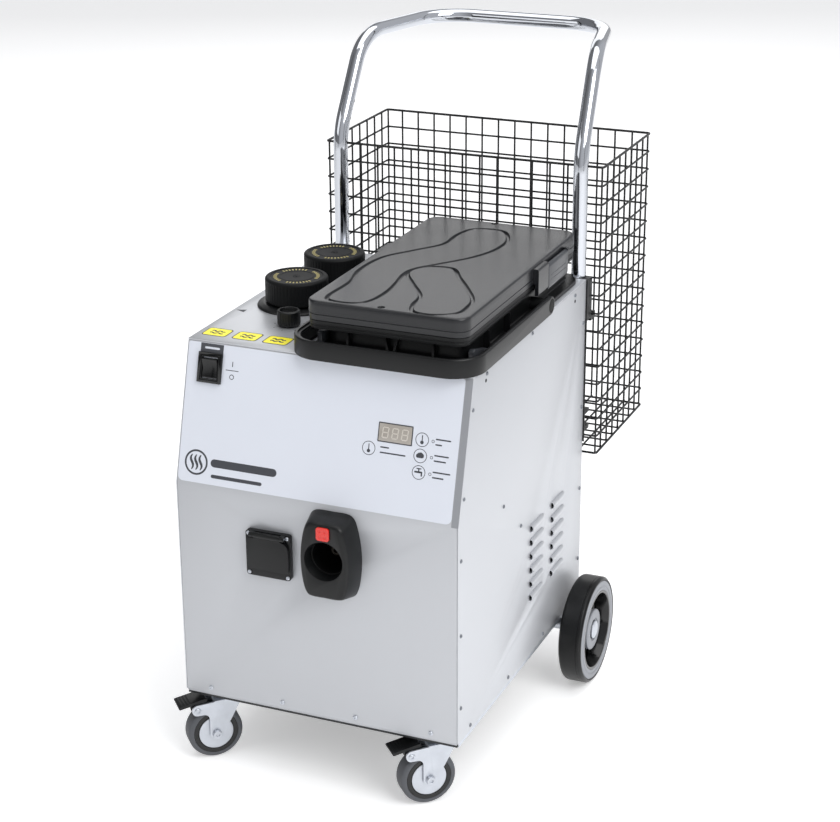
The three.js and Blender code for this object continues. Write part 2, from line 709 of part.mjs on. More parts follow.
function addBasket() {
  const { width, depth, height, y, z, bar } = BASKET;
  const half = width / 2 + bar / 2;
  const front = y - bar / 2;
  const back = y + depth + bar / 2;
  const bottom = z - bar / 2;
  const top = z + height + bar / 2;
  const inside = [front + bar + GAP, back - bar - GAP];
  const wide = [-half, half, bottom, top, BASKET_COLUMNS, BASKET_ROWS];
  const deep = [...inside, bottom, top, BASKET_ROWS_DEEP, BASKET_ROWS];
  add("basket_front", grille("front", ...wide, front), BLACK_WIRE);
  add("basket_back", grille("front", ...wide, back - bar), BLACK_WIRE);
  add("basket_left", grille("side", ...deep, -half), BLACK_WIRE);
  add("basket_right", grille("side", ...deep, half - bar), BLACK_WIRE);
  const reach = half - bar - GAP;
  const floor = grille("flat", -reach, reach, ...inside, BASKET_COLUMNS, BASKET_ROWS_DEEP, bottom);
  add("basket_floor", floor, BLACK_WIRE);
}

// ---------------------------------------------------------------- rear wheels

function rearAxle() {
  const { inner, y, z, bore } = REAR_WHEEL;
  const end = inner + 33;
  const cap = inner + 29 + GAP;
  return turned("x", [
    [0, -end],
    [12.5, -end],
    [12.5, -cap],
    [bore, -cap],
    [bore, cap],
    [12.5, cap],
    [12.5, end],
    [0, end],
  ], [0, y, z], 16);
}

function axleBracket(side) {
  const { y, z, bore } = REAR_WHEEL;
  const shape = new THREE.Shape();
  shape.moveTo(y - 34, TRAY_BOTTOM - GAP);
  shape.lineTo(y - 17, z);
  shape.absarc(y, z, 17, Math.PI, 2 * Math.PI);
  shape.lineTo(y + 34, TRAY_BOTTOM - GAP);
  shape.holes.push(circle(y, z, bore + GAP));
  const [from, to] = side > 0 ? [160, 165] : [-165, -160];
  const foot = box(from - 12, to + 12, y - 34, y + 34, TRAY_BOTTOM - GAP - 3, TRAY_BOTTOM - GAP);
  return join(slab("side", shape, from, to, 8), foot);
}

function rearTyre(side) {
  const { inner, radius, width, rim, y, z } = REAR_WHEEL;
  const near = side * inner;
  const far = side * (inner + width);
  const shoulder = side * 5;
  const profile = [
    [rim, near + shoulder / 2],
    [radius - 6, near],
    [radius, near + shoulder],
    [radius, far - shoulder],
    [radius - 6, far],
    [rim, far - shoulder / 2],
    [rim, near + shoulder / 2],
  ];
  return turned("x", side > 0 ? profile : profile.reverse(), [0, y, z], 32);
}

function rearRim(side) {
  const { inner, rim, bore, y, z } = REAR_WHEEL;
  const edge = rim - GAP;
  const profile = [
    [bore + GAP, 3],
    [edge, 3],
    [edge, 32],
    [edge - 4, 32],
    [edge - 4, 12],
    [29, 12],
    [29, 29],
    [bore + GAP, 29],
    [bore + GAP, 3],
  ].map(([r, along]) => [r, side * (inner + along)]);
  return turned("x", side > 0 ? profile : profile.reverse(), [0, y, z], 24);
}

function addRearWheels() {
  add("rear_axle", rearAxle(), CHROME);
  for (const [name, side] of SIDES) {
    add(`axle_bracket_${name}`, axleBracket(side), TRAY_STEEL);
    add(`rear_tyre_${name}`, rearTyre(side), BLACK_RUBBER);
    add(`rear_rim_${name}`, rearRim(side), GREY_PLASTIC);
  }
}

// ---------------------------------------------------------------- swivel casters

// A caster's own frame: Z up its swivel axis, X the way it trails, Y along its axle.
function forkCheek(from, to) {
  const { trail, z } = CASTER;
  const shape = new THREE.Shape();
  shape.moveTo(-16, 80.5);
  shape.lineTo(1, 49);
  shape.lineTo(trail - 8.5, z + 3);
  shape.absarc(trail, z, 9, 0.9 * Math.PI, 2 * Math.PI);
  shape.lineTo(trail + 9, 55);
  shape.quadraticCurveTo(trail + 9.5, 62, 37, 63);
  shape.lineTo(PEDAL_PIVOT.x, PEDAL_PIVOT.z - 7);
  shape.absarc(PEDAL_PIVOT.x, PEDAL_PIVOT.z, 7, -Math.PI / 2, Math.PI / 2);
  shape.lineTo(4, 80.5);
  return slab("front", shape, from, to, 3);
}

const PEDAL_PIVOT = { x: 44.5, z: 70 };
const CHEEK = { inner: 14.5, outer: 17 };

function casterFork() {
  const { trail, z, axle } = CASTER;
  const { inner, outer } = CHEEK;
  const crown = slab("flat", roundedRectangle(-16, 22, -outer, outer, 3), 77.5, 80.5, 3);
  const head = rod("z", 20, 80, TRAY_BOTTOM - 2 * GAP - 3, [0, 0, 0], 20);
  const pin = rod("y", 2.7, -outer, outer, [PEDAL_PIVOT.x, 0, PEDAL_PIVOT.z], 8);
  const bore = rod("y", axle + GAP, -30, 30, [trail, 0, z], 12);
  return cut(join(forkCheek(-outer, -inner), forkCheek(inner, outer), crown, head, pin), bore);
}

function casterWheel() {
  const { trail, radius, z, width, axle } = CASTER;
  const half = width / 2;
  return turned("y", [
    [axle + GAP, -half],
    [radius - 3, -half],
    [radius, 3 - half],
    [radius, half - 3],
    [radius - 3, half],
    [axle + GAP, half],
    [axle + GAP, -half],
  ], [trail, 0, z], 28);
}

function casterAxle() {
  const { trail, z, axle } = CASTER;
  const start = CHEEK.outer + GAP;
  return turned("y", [
    [0, -start - 4],
    [6, -start - 4],
    [6, -start],
    [axle, -start],
    [axle, start],
    [6, start],
    [6, start + 4],
    [0, start + 4],
  ], [trail, 0, z], 12);
}

function brakePedal() {
  const tread = polygon([[30, 80], [68, 74], [69, 78], [31, 85]]);
  const tongue = polygon([[38, 66], [52, 66], [52, 78], [36, 80]]);
  const bore = rod("y", 3.2, -30, 30, [PEDAL_PIVOT.x, 0, PEDAL_PIVOT.z], 8);
  return cut(join(slab("front", tread, -14, 14), slab("front", tongue, -11, 11)), bore);
}

function addCaster(name, side) {
  const group = new THREE.Group();
  group.position.set(side * CASTER.x, CASTER.y, 0);
  group.rotation.z = THREE.MathUtils.degToRad(CASTER.angle);
  cleaner.add(group);
  const top = TRAY_BOTTOM - GAP;
  add(`caster_fork_${name}`, casterFork(), ZINC, group);
  add(`caster_wheel_${name}`, casterWheel(), GREY_RUBBER, group);
  add(`caster_axle_${name}`, casterAxle(), ZINC, group);
  add(`caster_pedal_${name}`, brakePedal(), BLACK_PLASTIC, group);
  const plate = box(-30, 30, -30, 30, top - 3, top).translate(side * CASTER.x, CASTER.y, 0);
  add(`caster_plate_${name}`, plate, ZINC);
}

// ---------------------------------------------------------------- inside the cabinet

function boiler() {
  const { x, y, radius, wall, bottom, top } = BOILER;
  const dome = radius - 16; // where the ends' rounding meets their flat middle
  const inner = radius - wall;
  return turned("z", [
    [0, bottom],
    [dome, bottom],
    [radius, bottom + 14],
    [radius, top - 16],
    [dome, top],
    [12, top + 4],
    [12, top + 14],
    [8, top + 14],
    [8, top + 1],
    [dome - 2, top - wall],
    [inner, top - 18],
    [inner, bottom + 16],
    [dome - 2, bottom + wall],
    [0, bottom + wall],
  ], [x, y, 0], 20);
}

function storageTank(y0, y1, fillerY) {
  const { x0, x1, bottom, top, wall } = STORAGE;
  const outer = box(x0, x1, y0, y1, bottom, top);
  const inner = box(x0 + wall, x1 - wall, y0 + wall, y1 - wall, bottom + wall, top - wall);
  return cut(outer, inner, rod("z", FILLER.neck + 2, top - 20, top + 10, [FILLER.x, fillerY, 0]));
}

function waterPump() {
  const { x, z, radius, y0, y1 } = PUMP;
  const motor = rod("y", radius, y0, y1 - 35, [x, 0, z]);
  const head = box(x - 24, x + 24, y1 - 40, y1, z - radius, z + radius);
  const feet = box(x - 20, x + 20, y0 + 10, y1 - 5, STORAGE.bottom, z - radius + 3);
  return join(motor, head, feet);
}

function addInside() {
  add("boiler", boiler(), STEEL);
  add("water_tank", storageTank(280, 438, WATER_Y), NATURAL_PLASTIC);
  add("detergent_tank", storageTank(165, 272, DETERGENT_Y), NATURAL_PLASTIC);
  add("water_pump", waterPump(), GREY_PLASTIC);
}

// ---------------------------------------------------------------- the whole machine

addCabinet();
addRockerSwitch();
addDisplay();
addControlBoard();
addOutlet();
addHoseSocket();
addFillers();
addValve();
addVacuum();
addHandle();
addBasket();
addRearWheels();
for (const [name, side] of SIDES) addCaster(name, side);
addInside();

// The origin goes to the middle of the footprint: between the release button's face and the grip bar's far side.
const FRONT_MOST = -SOCKET.reach - 2;
const REAR_MOST = HANDLE_REACH + HANDLE_RADIUS;
cleaner.position.y = -(FRONT_MOST + REAR_MOST) / 2;
cleaner.position.z = -FLOOR;

export default cleaner;
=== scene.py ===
import json
import math

import bmesh
import bpy
from mathutils import Matrix, Vector

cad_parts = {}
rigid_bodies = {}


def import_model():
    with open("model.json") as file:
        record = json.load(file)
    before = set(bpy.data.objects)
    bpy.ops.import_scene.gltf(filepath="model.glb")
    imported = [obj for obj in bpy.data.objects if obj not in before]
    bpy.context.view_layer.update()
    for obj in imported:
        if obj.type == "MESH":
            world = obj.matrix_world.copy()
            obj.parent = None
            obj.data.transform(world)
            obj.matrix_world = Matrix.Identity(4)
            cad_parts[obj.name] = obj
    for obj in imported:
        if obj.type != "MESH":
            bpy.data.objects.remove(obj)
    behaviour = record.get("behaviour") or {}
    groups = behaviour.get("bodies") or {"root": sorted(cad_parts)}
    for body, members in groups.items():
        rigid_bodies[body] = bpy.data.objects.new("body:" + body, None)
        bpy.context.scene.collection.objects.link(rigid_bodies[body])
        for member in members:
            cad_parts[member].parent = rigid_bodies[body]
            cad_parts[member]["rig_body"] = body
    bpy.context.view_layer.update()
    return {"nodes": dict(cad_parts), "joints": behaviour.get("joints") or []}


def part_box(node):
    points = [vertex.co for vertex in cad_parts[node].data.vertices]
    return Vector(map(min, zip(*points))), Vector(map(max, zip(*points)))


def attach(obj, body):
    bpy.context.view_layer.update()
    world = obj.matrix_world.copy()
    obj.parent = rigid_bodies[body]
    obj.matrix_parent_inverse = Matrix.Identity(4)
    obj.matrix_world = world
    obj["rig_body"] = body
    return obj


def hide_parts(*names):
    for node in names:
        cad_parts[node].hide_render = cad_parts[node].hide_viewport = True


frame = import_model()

# Steam cleaner: the fine surfaces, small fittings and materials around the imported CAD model.
# Shapes are written in millimetres in the machine's working planes, X from the cabinet's middle,
# Y from its lower front panel and Z from a level just above the floor. build() turns them into metres.

MM = 0.001
FLOOR = -4  # the floor's height in the working planes
ORIGIN = Vector((0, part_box("front_panel")[0].y, -FLOOR * MM))


# ---- the machine's main sizes, mm


def corners_mm(node):
    """A CAD node's lowest and highest corners in the working planes."""
    low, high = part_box(node)
    return (low - ORIGIN) / MM, (high - ORIGIN) / MM


def joint(name):
    return next(j for j in frame["joints"] if j["name"] == name)


def joint_mm(name):
    return (Vector(joint(name)["pos_m"]) - ORIGIN) / MM


HALF = corners_mm("top_panel")[1].x
DEPTH = corners_mm("rear_panel")[1].y
TOP = corners_mm("top_panel")[1].z
BOTTOM = corners_mm("front_panel")[0].z
TRAY_BOTTOM = corners_mm("base_tray")[0].z
SET_BACK = corners_mm("top_panel")[0].y + 0.5
CREASE = 389
SLOPE = math.atan2(SET_BACK, TOP - CREASE)
FACIA_HEIGHT = math.hypot(SET_BACK, TOP - CREASE)
SIDES = (("left", -1), ("right", 1))


# ---- outlines and paths


def rounded(corners, closed=True, steps=6):
    """A path of points through corners (x, y[, z], radius), each turned into an arc of its radius."""
    points = [Vector(c[:-1]).to_3d() if len(c) == 3 else Vector(c[:-1]) for c in corners]
    radii = [c[-1] for c in corners]
    count = len(points)
    path = []
    for i, (point, radius) in enumerate(zip(points, radii)):
        at_end = not closed and i in (0, count - 1)
        if radius <= 0 or at_end:
            path.append(point.copy())
            continue
        back = (points[i - 1] - point).normalized()
        ahead = (points[(i + 1) % count] - point).normalized()
        half = back.angle(ahead) / 2
        reach = radius / math.tan(half)
        middle = point + (back + ahead).normalized() * (radius / math.sin(half))
        start = point + back * reach - middle
        end = point + ahead * reach - middle
        turn = start.angle(end)
        for step in range(steps + 1):
            share = step / steps
            a = math.sin((1 - share) * turn) / math.sin(turn)
            b = math.sin(share * turn) / math.sin(turn)
            path.append(middle + start * a + end * b)
    return path


def rectangle(u0, u1, v0, v1, radius, steps=6):
    corners = [(u0, v0, radius), (u1, v0, radius), (u1, v1, radius), (u0, v1, radius)]
    return rounded(corners, steps=steps)


def ring(u, v, radius, steps=48):
    turns = [2 * math.pi * i / steps for i in range(steps)]
    return [Vector((u + radius * math.cos(t), v + radius * math.sin(t), 0)) for t in turns]


def spline(points, closed=True, steps=10):
    """A smooth curve through the points (Catmull-Rom)."""
    points = [Vector(p).to_3d() for p in points]
    count = len(points)
    curve = []
    last = count if closed else count - 1
    for i in range(last):
        if closed:
            a, b, c, d = (points[(i + k) % count] for k in (-1, 0, 1, 2))
        else:
            a, b, c, d = (points[min(max(i + k, 0), count - 1)] for k in (-1, 0, 1, 2))
        for step in range(steps):
            t = step / steps
            curve.append(0.5 * ((2 * b) + (c - a) * t + (2 * a - 5 * b + 4 * c - d) * t**2
                                + (3 * b - a - 3 * c + d) * t**3))
    if not closed:
        curve.append(points[-1])
    return curve


# ---- shapes: (points in mm, faces)


def loft(rings, cyclic=False):
    """Faces between rings of equal length. A cyclic loft closes on itself, and any other has two ends."""
    size = len(rings[0])
    points = [p for one in rings for p in one]
    faces = []
    last = len(rings) if cyclic else len(rings) - 1
    for i in range(last):
        a, b = i * size, ((i + 1) % len(rings)) * size
        for j in range(size):
            k = (j + 1) % size
            faces.append((a + j, a + k, b + k, b + j))
    if not cyclic:
        faces.append(tuple(reversed(range(size))))
        faces.append(tuple(range((len(rings) - 1) * size, len(rings) * size)))
    return points, faces


def moved(shape, matrix):
    points, faces = shape
    return [matrix @ p for p in points], faces


def joined(*shapes):
    points, faces = [], []
    for some_points, some_faces in shapes:
        start = len(points)
        points.extend(some_points)
        faces.extend(tuple(start + i for i in face) for face in some_faces)
    return points, faces


PLANES = {
    "flat": lambda u, v, w: Vector((u, v, w)),
    "front": lambda u, v, w: Vector((u, w, v)),
    "side": lambda u, v, w: Vector((w, u, v)),
}


def prism(plane, outline, start, end):
    """A flat outline given a thickness. The front plane holds X and Z, the side plane Y and Z."""
    put = PLANES[plane]
    return loft([[put(p.x, p.y, w) for p in outline] for w in (start, end)])


def block(x0, x1, y0, y1, z0, z1):
    return prism("flat", rectangle(x0, x1, y0, y1, 0), z0, z1)


def turned(axis, profile, centre, segments=64, ripple=None, steps=4):
    """A turned solid. The profile's corners are (radius, distance along the axis, corner radius)."""
    line = rounded(profile, closed=True, steps=steps)
    middle = Vector(centre)
    rings = []
    for i in range(segments):
        turn = 2 * math.pi * i / segments
        one = []
        for p in line:
            r = p.x + (ripple(p.x, p.y, turn) if ripple else 0)
            u, v = r * math.cos(turn), r * math.sin(turn)
            local = {"x": (p.y, u, v), "y": (u, p.y, v), "z": (u, v, p.y)}[axis]
            one.append(middle + Vector(local))
        rings.append(one)
    return loft(rings, cyclic=True)


def swept(path, section, closed=False, fixed=False):
    """A section (across, up) carried along a path. A fixed section keeps its own up direction."""
    up = Vector((0, 0, 1))
    count = len(path)
    rings = []
    side = None
    for i, point in enumerate(path):
        before = path[i - 1] if closed or i > 0 else point
        after = path[(i + 1) % count] if closed or i < count - 1 else point
        ahead = (after - before).normalized()
        if fixed or side is None:
            guide = up if abs(ahead.dot(up)) < 0.99 else Vector((0, 1, 0))
            side = ahead.cross(guide).normalized()
        else:
            side = (side - ahead * side.dot(ahead)).normalized()
        top = side.cross(ahead)
        rings.append([point + side * p.x + top * p.y for p in section])
    return loft(rings, cyclic=closed)


def wire(path, radius, sides=8, closed=False):
    return swept(path, ring(0, 0, radius, sides), closed)


# ---- pieces


def build(name, *shapes):
    """A Blender object from shapes in mm, as one mesh in the frame's metres."""
    points, faces = joined(*shapes)
    bm = bmesh.new()
    verts = [bm.verts.new(p * MM + ORIGIN) for p in points]
    for face in faces:
        bm.faces.new([verts[i] for i in face])
    bmesh.ops.remove_doubles(bm, verts=bm.verts, dist=1e-6)
    bmesh.ops.dissolve_degenerate(bm, dist=1e-7, edges=bm.edges)
    bmesh.ops.recalc_face_normals(bm, faces=bm.faces)
    mesh = bpy.data.meshes.new(name)
    bm.to_mesh(mesh)
    bm.free()
    obj = bpy.data.objects.new(name, mesh)
    bpy.context.scene.collection.objects.link(obj)
    return obj


def root_matrix(place):
    """A working-plane matrix in mm as one for the frame's metres."""
    to_mm = Matrix.Diagonal((1 / MM, 1 / MM, 1 / MM, 1)) @ Matrix.Translation(-ORIGIN)
    return to_mm.inverted() @ place @ to_mm


def settle(obj):
    """Turns the object's modifiers into its mesh."""
    graph = bpy.context.evaluated_depsgraph_get()
    mesh = bpy.data.meshes.new_from_object(obj.evaluated_get(graph))
    obj.modifiers.clear()
    obj.data = mesh
    return obj


def combined(obj, operation, *tools):
    for tool in tools:
        step = obj.modifiers.new(operation, "BOOLEAN")
        step.operation = operation
        step.solver = "EXACT"
        step.object = tool
    settle(obj)
    for tool in tools:
        bpy.data.objects.remove(tool)
    return obj


def cut(obj, *shapes):
    return combined(obj, "DIFFERENCE", *[build("tool", s) for s in shapes])


def fused(obj, *shapes):
    return combined(obj, "UNION", *[build("tool", s) for s in shapes])


def eased(obj, width=0.5, segments=2, angle=32):
    """Rounds the edges that turn more than the angle."""
    step = obj.modifiers.new("edges", "BEVEL")
    step.width = width * MM
    step.segments = segments
    step.limit_method = "ANGLE"
    step.angle_limit = math.radians(angle)
    step.use_clamp_overlap = True
    return settle(obj)


def smooth(obj, angle=38):
    obj.data.shade_smooth()
    obj.data.set_sharp_from_angle(angle=math.radians(angle))
    return obj


def finish(obj, material, body, replaces=(), angle=38):
    """Gives a piece its material and body, and hides the CAD nodes it stands for."""
    obj.data.materials.clear()
    obj.data.materials.append(material)
    smooth(obj, angle)
    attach(obj, body)
    if replaces:
        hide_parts(*([replaces] if isinstance(replaces, str) else replaces))
    return obj


def piece(name, shapes, material, body="cabinet", replaces=(), angle=38):
    """A finished piece made of a list of shapes."""
    return finish(build(name, *shapes), material, body, replaces, angle)


def body_of(node):
    return frame["nodes"][node]["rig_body"]


def refined(node, material, width=0.4, segments=2):
    """A CAD node's own shape with its edges rounded."""
    bm = bmesh.new()
    bm.from_mesh(frame["nodes"][node].data)
    bmesh.ops.remove_doubles(bm, verts=bm.verts, dist=2e-6)
    bmesh.ops.dissolve_limit(bm, angle_limit=math.radians(1), verts=bm.verts, edges=bm.edges)
    mesh = bpy.data.meshes.new(node + "_fine")
    bm.to_mesh(mesh)
    bm.free()
    obj = bpy.data.objects.new(mesh.name, mesh)
    bpy.context.scene.collection.objects.link(obj)
    eased(obj, width, segments)
    return finish(obj, material, body_of(node), node)


# ---- materials


def tint(code):
    """Linear colour of an sRGB hex code."""
    values = [int(code[i:i + 2], 16) / 255 for i in (0, 2, 4)]
    return [v / 12.92 if v <= 0.04045 else ((v + 0.055) / 1.055) ** 2.4 for v in values]


def material(name, slot, colour, roughness, metallic=0.0, tone=0.06, patch=9, spread=0.05, grain=900,
             stretch=(1, 1, 1), bump=0.05, depth=0.0002, coat=0.0, shine=0.5):
    """A surface whose colour drifts in soft patches and whose gloss and height follow a fine grain."""
    made = bpy.data.materials.new(name)
    made.use_nodes = True
    made["slot"] = slot
    nodes, links = made.node_tree.nodes, made.node_tree.links
    shader = nodes["Principled BSDF"]
    shader.inputs["Metallic"].default_value = metallic
    shader.inputs["Coat Weight"].default_value = coat
    shader.inputs["Specular IOR Level"].default_value = shine
    place = nodes.new("ShaderNodeTexCoord")
    mapping = nodes.new("ShaderNodeMapping")
    mapping.inputs["Scale"].default_value = stretch
    links.new(place.outputs["Object"], mapping.inputs["Vector"])

    patches = nodes.new("ShaderNodeTexNoise")
    patches.inputs["Scale"].default_value = patch
    patches.inputs["Detail"].default_value = 3
    links.new(place.outputs["Object"], patches.inputs["Vector"])
    fine = nodes.new("ShaderNodeTexNoise")
    fine.inputs["Scale"].default_value = grain
    fine.inputs["Detail"].default_value = 4
    links.new(mapping.outputs["Vector"], fine.inputs["Vector"])

    tones = nodes.new("ShaderNodeMix")
    tones.data_type = "RGBA"
    linear = tint(colour)
    tones.inputs["A"].default_value = [c * (1 - tone) for c in linear] + [1]
    tones.inputs["B"].default_value = [min(1, c * (1 + tone)) for c in linear] + [1]
    links.new(patches.outputs["Fac"], tones.inputs["Factor"])
    links.new(tones.outputs["Result"], shader.inputs["Base Color"])

    gloss = nodes.new("ShaderNodeMapRange")
    gloss.inputs["To Min"].default_value = max(0.02, roughness - spread)
    gloss.inputs["To Max"].default_value = roughness + spread
    links.new(fine.outputs["Fac"], gloss.inputs["Value"])
    links.new(gloss.outputs["Result"], shader.inputs["Roughness"])

    height = nodes.new("ShaderNodeBump")
    height.inputs["Strength"].default_value = bump
    height.inputs["Distance"].default_value = depth
    links.new(fine.outputs["Fac"], height.inputs["Height"])
    links.new(height.outputs["Normal"], shader.inputs["Normal"])
    return made


BRUSHED = {"tone": 0.03, "patch": 3, "grain": 1.0, "bump": 0.12, "depth": 0.0001}
UPRIGHT = {**BRUSHED, "stretch": (9, 9, 2400)}
GRAINED = {"spread": 0.08, "grain": 2200, "bump": 0.12}
MOULDED = {"spread": 0.06, "grain": 2600, "bump": 0.08}
STEEL = material("steel", "cabinet_steel", "c3c5c9", 0.42, 0.6, **UPRIGHT)
# The front panel's steel is painted darker than the sides' steel, as painted shade.
STEEL_FRONT_SHADED = material("steel_front_painted_shade", "cabinet_steel", "b9bbbf", 0.46, 0.35, **UPRIGHT)
# A darker copy of the steel for the facia's right edge: a painted reflection of dark surroundings, as
# painted shade.
STEEL_EDGE_SHADED = material("steel_edge_painted_shade", "cabinet_steel", "a3a5aa", 0.42, 0.6, **UPRIGHT)
# The top panel's steel is painted lighter than the sides' steel, as painted light.
STEEL_TOP_LIT = material("steel_top_painted_light", "cabinet_steel", "d4d6da", 0.42, 0.6, stretch=(9, 2400, 9), **BRUSHED)
FILM = material("facia_film", "facia_film", "d6dae3", 0.38, tone=0.01, bump=0.02)
INK = material("facia_print", "black_plastic", "3c3e44", 0.5)
GLASS = material("display_window", "display_plastic", "a09a92", 0.16, tone=0.03, coat=0.4)
DIGIT = material("display_digits", "display_plastic", "c4beb5", 0.3, tone=0.02)
BLACK = material("black_plastic", "black_plastic", "0f1011", 0.36, shine=0.3, **GRAINED)
GLOSSY = material("gloss_plastic", "black_plastic", "08090a", 0.14, spread=0.05, grain=2200, bump=0.05)
CAP = material("cap_plastic", "black_plastic", "101112", 0.5, shine=0.14, **GRAINED)
# Near-black for painted shade behind the louvres and in the pivot ends. The same black is also the dark
# set cards' own colour.
SHADE_AND_CARD_BLACK = material("painted_shade_and_card_black", "black_plastic", "060607", 0.6, shine=0.2)
LID = material("lid_plastic", "lid_plastic", "1b1c1f", 0.29, **MOULDED)
LATCH_PLASTIC = material("latch_plastic", "lid_plastic", "3a3c40", 0.3, **MOULDED)
RED = material("red_plastic", "red_plastic", "d8281c", 0.28, tone=0.04, coat=0.3)
GREY = material("grey_plastic", "grey_plastic", "84878d", 0.4, spread=0.06)
PLATE = material("power_plate", "grey_plastic", "44464c", 0.4)
NATURAL = material("natural_plastic", "natural_plastic", "dcdcd2", 0.45)
BOARD = material("board", "board", "1f6a40", 0.4, tone=0.2, patch=300)
WIRE = material("black_wire", "black_wire", "0d0e0f", 0.42, spread=0.1, grain=1500, bump=0.1, shine=0.4)
TYRE = material("tyre_rubber", "tyre_rubber", "090a0b", 0.34, spread=0.08, grain=1600, bump=0.1,
                shine=0.3)
RUBBER = material("caster_rubber", "caster_rubber", "55575b", 0.6, spread=0.1, grain=1600, bump=0.2,
                  shine=0.3)
SEAL = material("seal_rubber", "seal_rubber", "121213", 0.6, shine=0.3)
BRASS = material("brass", "brass", "b99a55", 0.3, 1.0)
# Brass painted dark as painted shade, for the coupling deep in the hose bore.
BRASS_SHADED = material("brass_painted_shade", "brass", "2b2620", 0.5, 0.6)
CHROME = material("chrome", "chrome", "c9ccd2", 0.07, 1.0, tone=0.01, spread=0.02, bump=0.01)
SCREW = material("screw_steel", "zinc", "7c8086", 0.28, 0.9, tone=0.1, patch=60)
ZINC = material("zinc", "zinc", "c3c7ce", 0.36, 0.8, tone=0.12, patch=60, spread=0.12, grain=500,
                bump=0.2)
TRAY = material("tray_steel", "tray_steel", "1e2022", 0.5, 0.2)
CAP_PRINT = material("cap_print", "label_film", "b0a466", 0.5, tone=0.1, patch=200)
YELLOW = material("sticker_yellow", "label_film", "fff11e", 0.4, tone=0.03)


# ---- camera, light and floor

CAMERA_AT = Vector((1.0288, -2.4345, 1.4149))
CAMERA_TURN = 23.01
CAMERA_DOWN = 21.16
CAMERA_ROLL = -0.32
LENS = 89.5
LIGHTS_AIM = Vector((0, 0, 0.4))
# Dark cards round the set: (foot in mm, turn in degrees, width in mm).
CARDS = (((-2900, -900, 0), 70, 500), ((-1500, -3900, 0), 20, 420), ((3600, -1500, 0), -60, 620),
         ((2600, 1900, 0), 40, 500), ((-2600, 2300, 0), -45, 500))


def add_camera():
    data = bpy.data.cameras.new("camera")
    data.lens = LENS
    data.sensor_fit = "HORIZONTAL"
    data.sensor_width = 36
    data.clip_end = 60
    camera = bpy.data.objects.new("camera", data)
    turn = Matrix.Rotation(math.radians(CAMERA_TURN), 4, "Z")
    tip = Matrix.Rotation(math.radians(90 - CAMERA_DOWN), 4, "X")
    roll = Matrix.Rotation(math.radians(CAMERA_ROLL), 4, "Z")
    camera.matrix_world = Matrix.Translation(CAMERA_AT) @ turn @ tip @ roll
    bpy.context.scene.collection.objects.link(camera)
    bpy.context.scene.camera = camera


def add_light(name, spot, size, power):
    data = bpy.data.lights.new(name, "AREA")
    data.shape = "RECTANGLE"
    data.size, data.size_y = size
    data.energy = power
    light = bpy.data.objects.new(name, data)
    light.location = spot
    light.rotation_euler = (Vector(spot) - LIGHTS_AIM).to_track_quat("Z", "Y").to_euler()
    bpy.context.scene.collection.objects.link(light)


def add_world():
    """A pale studio that grows darker to the left."""
    world = bpy.data.worlds.new("studio")
    bpy.context.scene.world = world
    world.use_nodes = True
    nodes, links = world.node_tree.nodes, world.node_tree.links
    background = nodes["Background"]
    place = nodes.new("ShaderNodeTexCoord")
    split = nodes.new("ShaderNodeSeparateXYZ")
    links.new(place.outputs["Generated"], split.inputs["Vector"])
    half = nodes.new("ShaderNodeMapRange")
    half.inputs["From Min"].default_value = -1
    links.new(split.outputs["X"], half.inputs["Value"])
    ramp = nodes.new("ShaderNodeValToRGB")
    for spot, (place_at, level) in enumerate(((0.30, 0.30), (0.62, 0.82))):
        ramp.color_ramp.elements[spot].position = place_at
        ramp.color_ramp.elements[spot].color = (level, level * 1.01, level * 1.04, 1)
    links.new(half.outputs["Result"], ramp.inputs["Fac"])
    links.new(ramp.outputs["Color"], background.inputs["Color"])
    background.inputs["Strength"].default_value = 0.75


def studio_floor():
    """A white floor that glows a little, so that it stays white under the machine."""
    floor = build("studio_floor", block(-9000, 9000, -9000, 9000, FLOOR - 20, FLOOR - 0.5))
    paint = material("floor", "", "fbfbfb", 0.75, tone=0.0, bump=0.0)
    shader = paint.node_tree.nodes["Principled BSDF"]
    shader.inputs["Emission Color"].default_value = (1, 1, 1, 1)
    shader.inputs["Emission Strength"].default_value = 0.36
    floor.data.materials.append(paint)
    return floor


def dark_card(name, spot, turn, width):
    """A tall dark card beside the set, which draws a dark streak along curved metal."""
    card = build(name, block(-width / 2, width / 2, -5, 5, 0, 3400))
    place = Matrix.Translation(Vector(spot)) @ Matrix.Rotation(math.radians(turn), 4, "Z")
    card.data.transform(root_matrix(place))
    card.data.materials.append(SHADE_AND_CARD_BLACK)
    return card


def add_stage():
    cards = [dark_card(f"card_{i + 1}", spot, turn, width) for i, (spot, turn, width) in enumerate(CARDS)]
    studio_floor()
    add_world()
    add_light("key", (2.6, -1.6, 3.0), (2.2, 2.2), 80)
    add_light("fill", (-2.4, -3.0, 2.2), (2.4, 2.0), 18)
    add_light("top", (0.0, 0.3, 3.6), (3.0, 3.0), 48)
    add_light("back", (-1.7, 3.9, 2.1), (3.4, 2.0), 26)
    bpy.context.scene.view_settings.view_transform = "Standard"


# ---- cabinet


def facia_matrix():
    """The slanted panel's own frame: X as the machine's, Z up the slope from the crease, -Y outwards."""
    return Matrix.Translation((0, 0, CREASE)) @ Matrix.Rotation(-SLOPE, 4, "X")


def screw_head(radius, height, sides=20):
    """A pan head that stands up Z from the origin, with a round recess."""
    edge = radius * 0.45
    recess = radius * 0.42
    profile = [
        (0, -0.6, 0), (radius, -0.6, 0), (radius, height, edge),
        (recess, height, 0), (recess * 0.8, height * 0.45, 0), (0, height * 0.45, 0),
    ]
    return turned("z", profile, (0, 0, 0), sides, steps=3)


def facing(normal):
    return Vector((0, 0, 1)).rotation_difference(Vector(normal)).to_matrix().to_4x4()


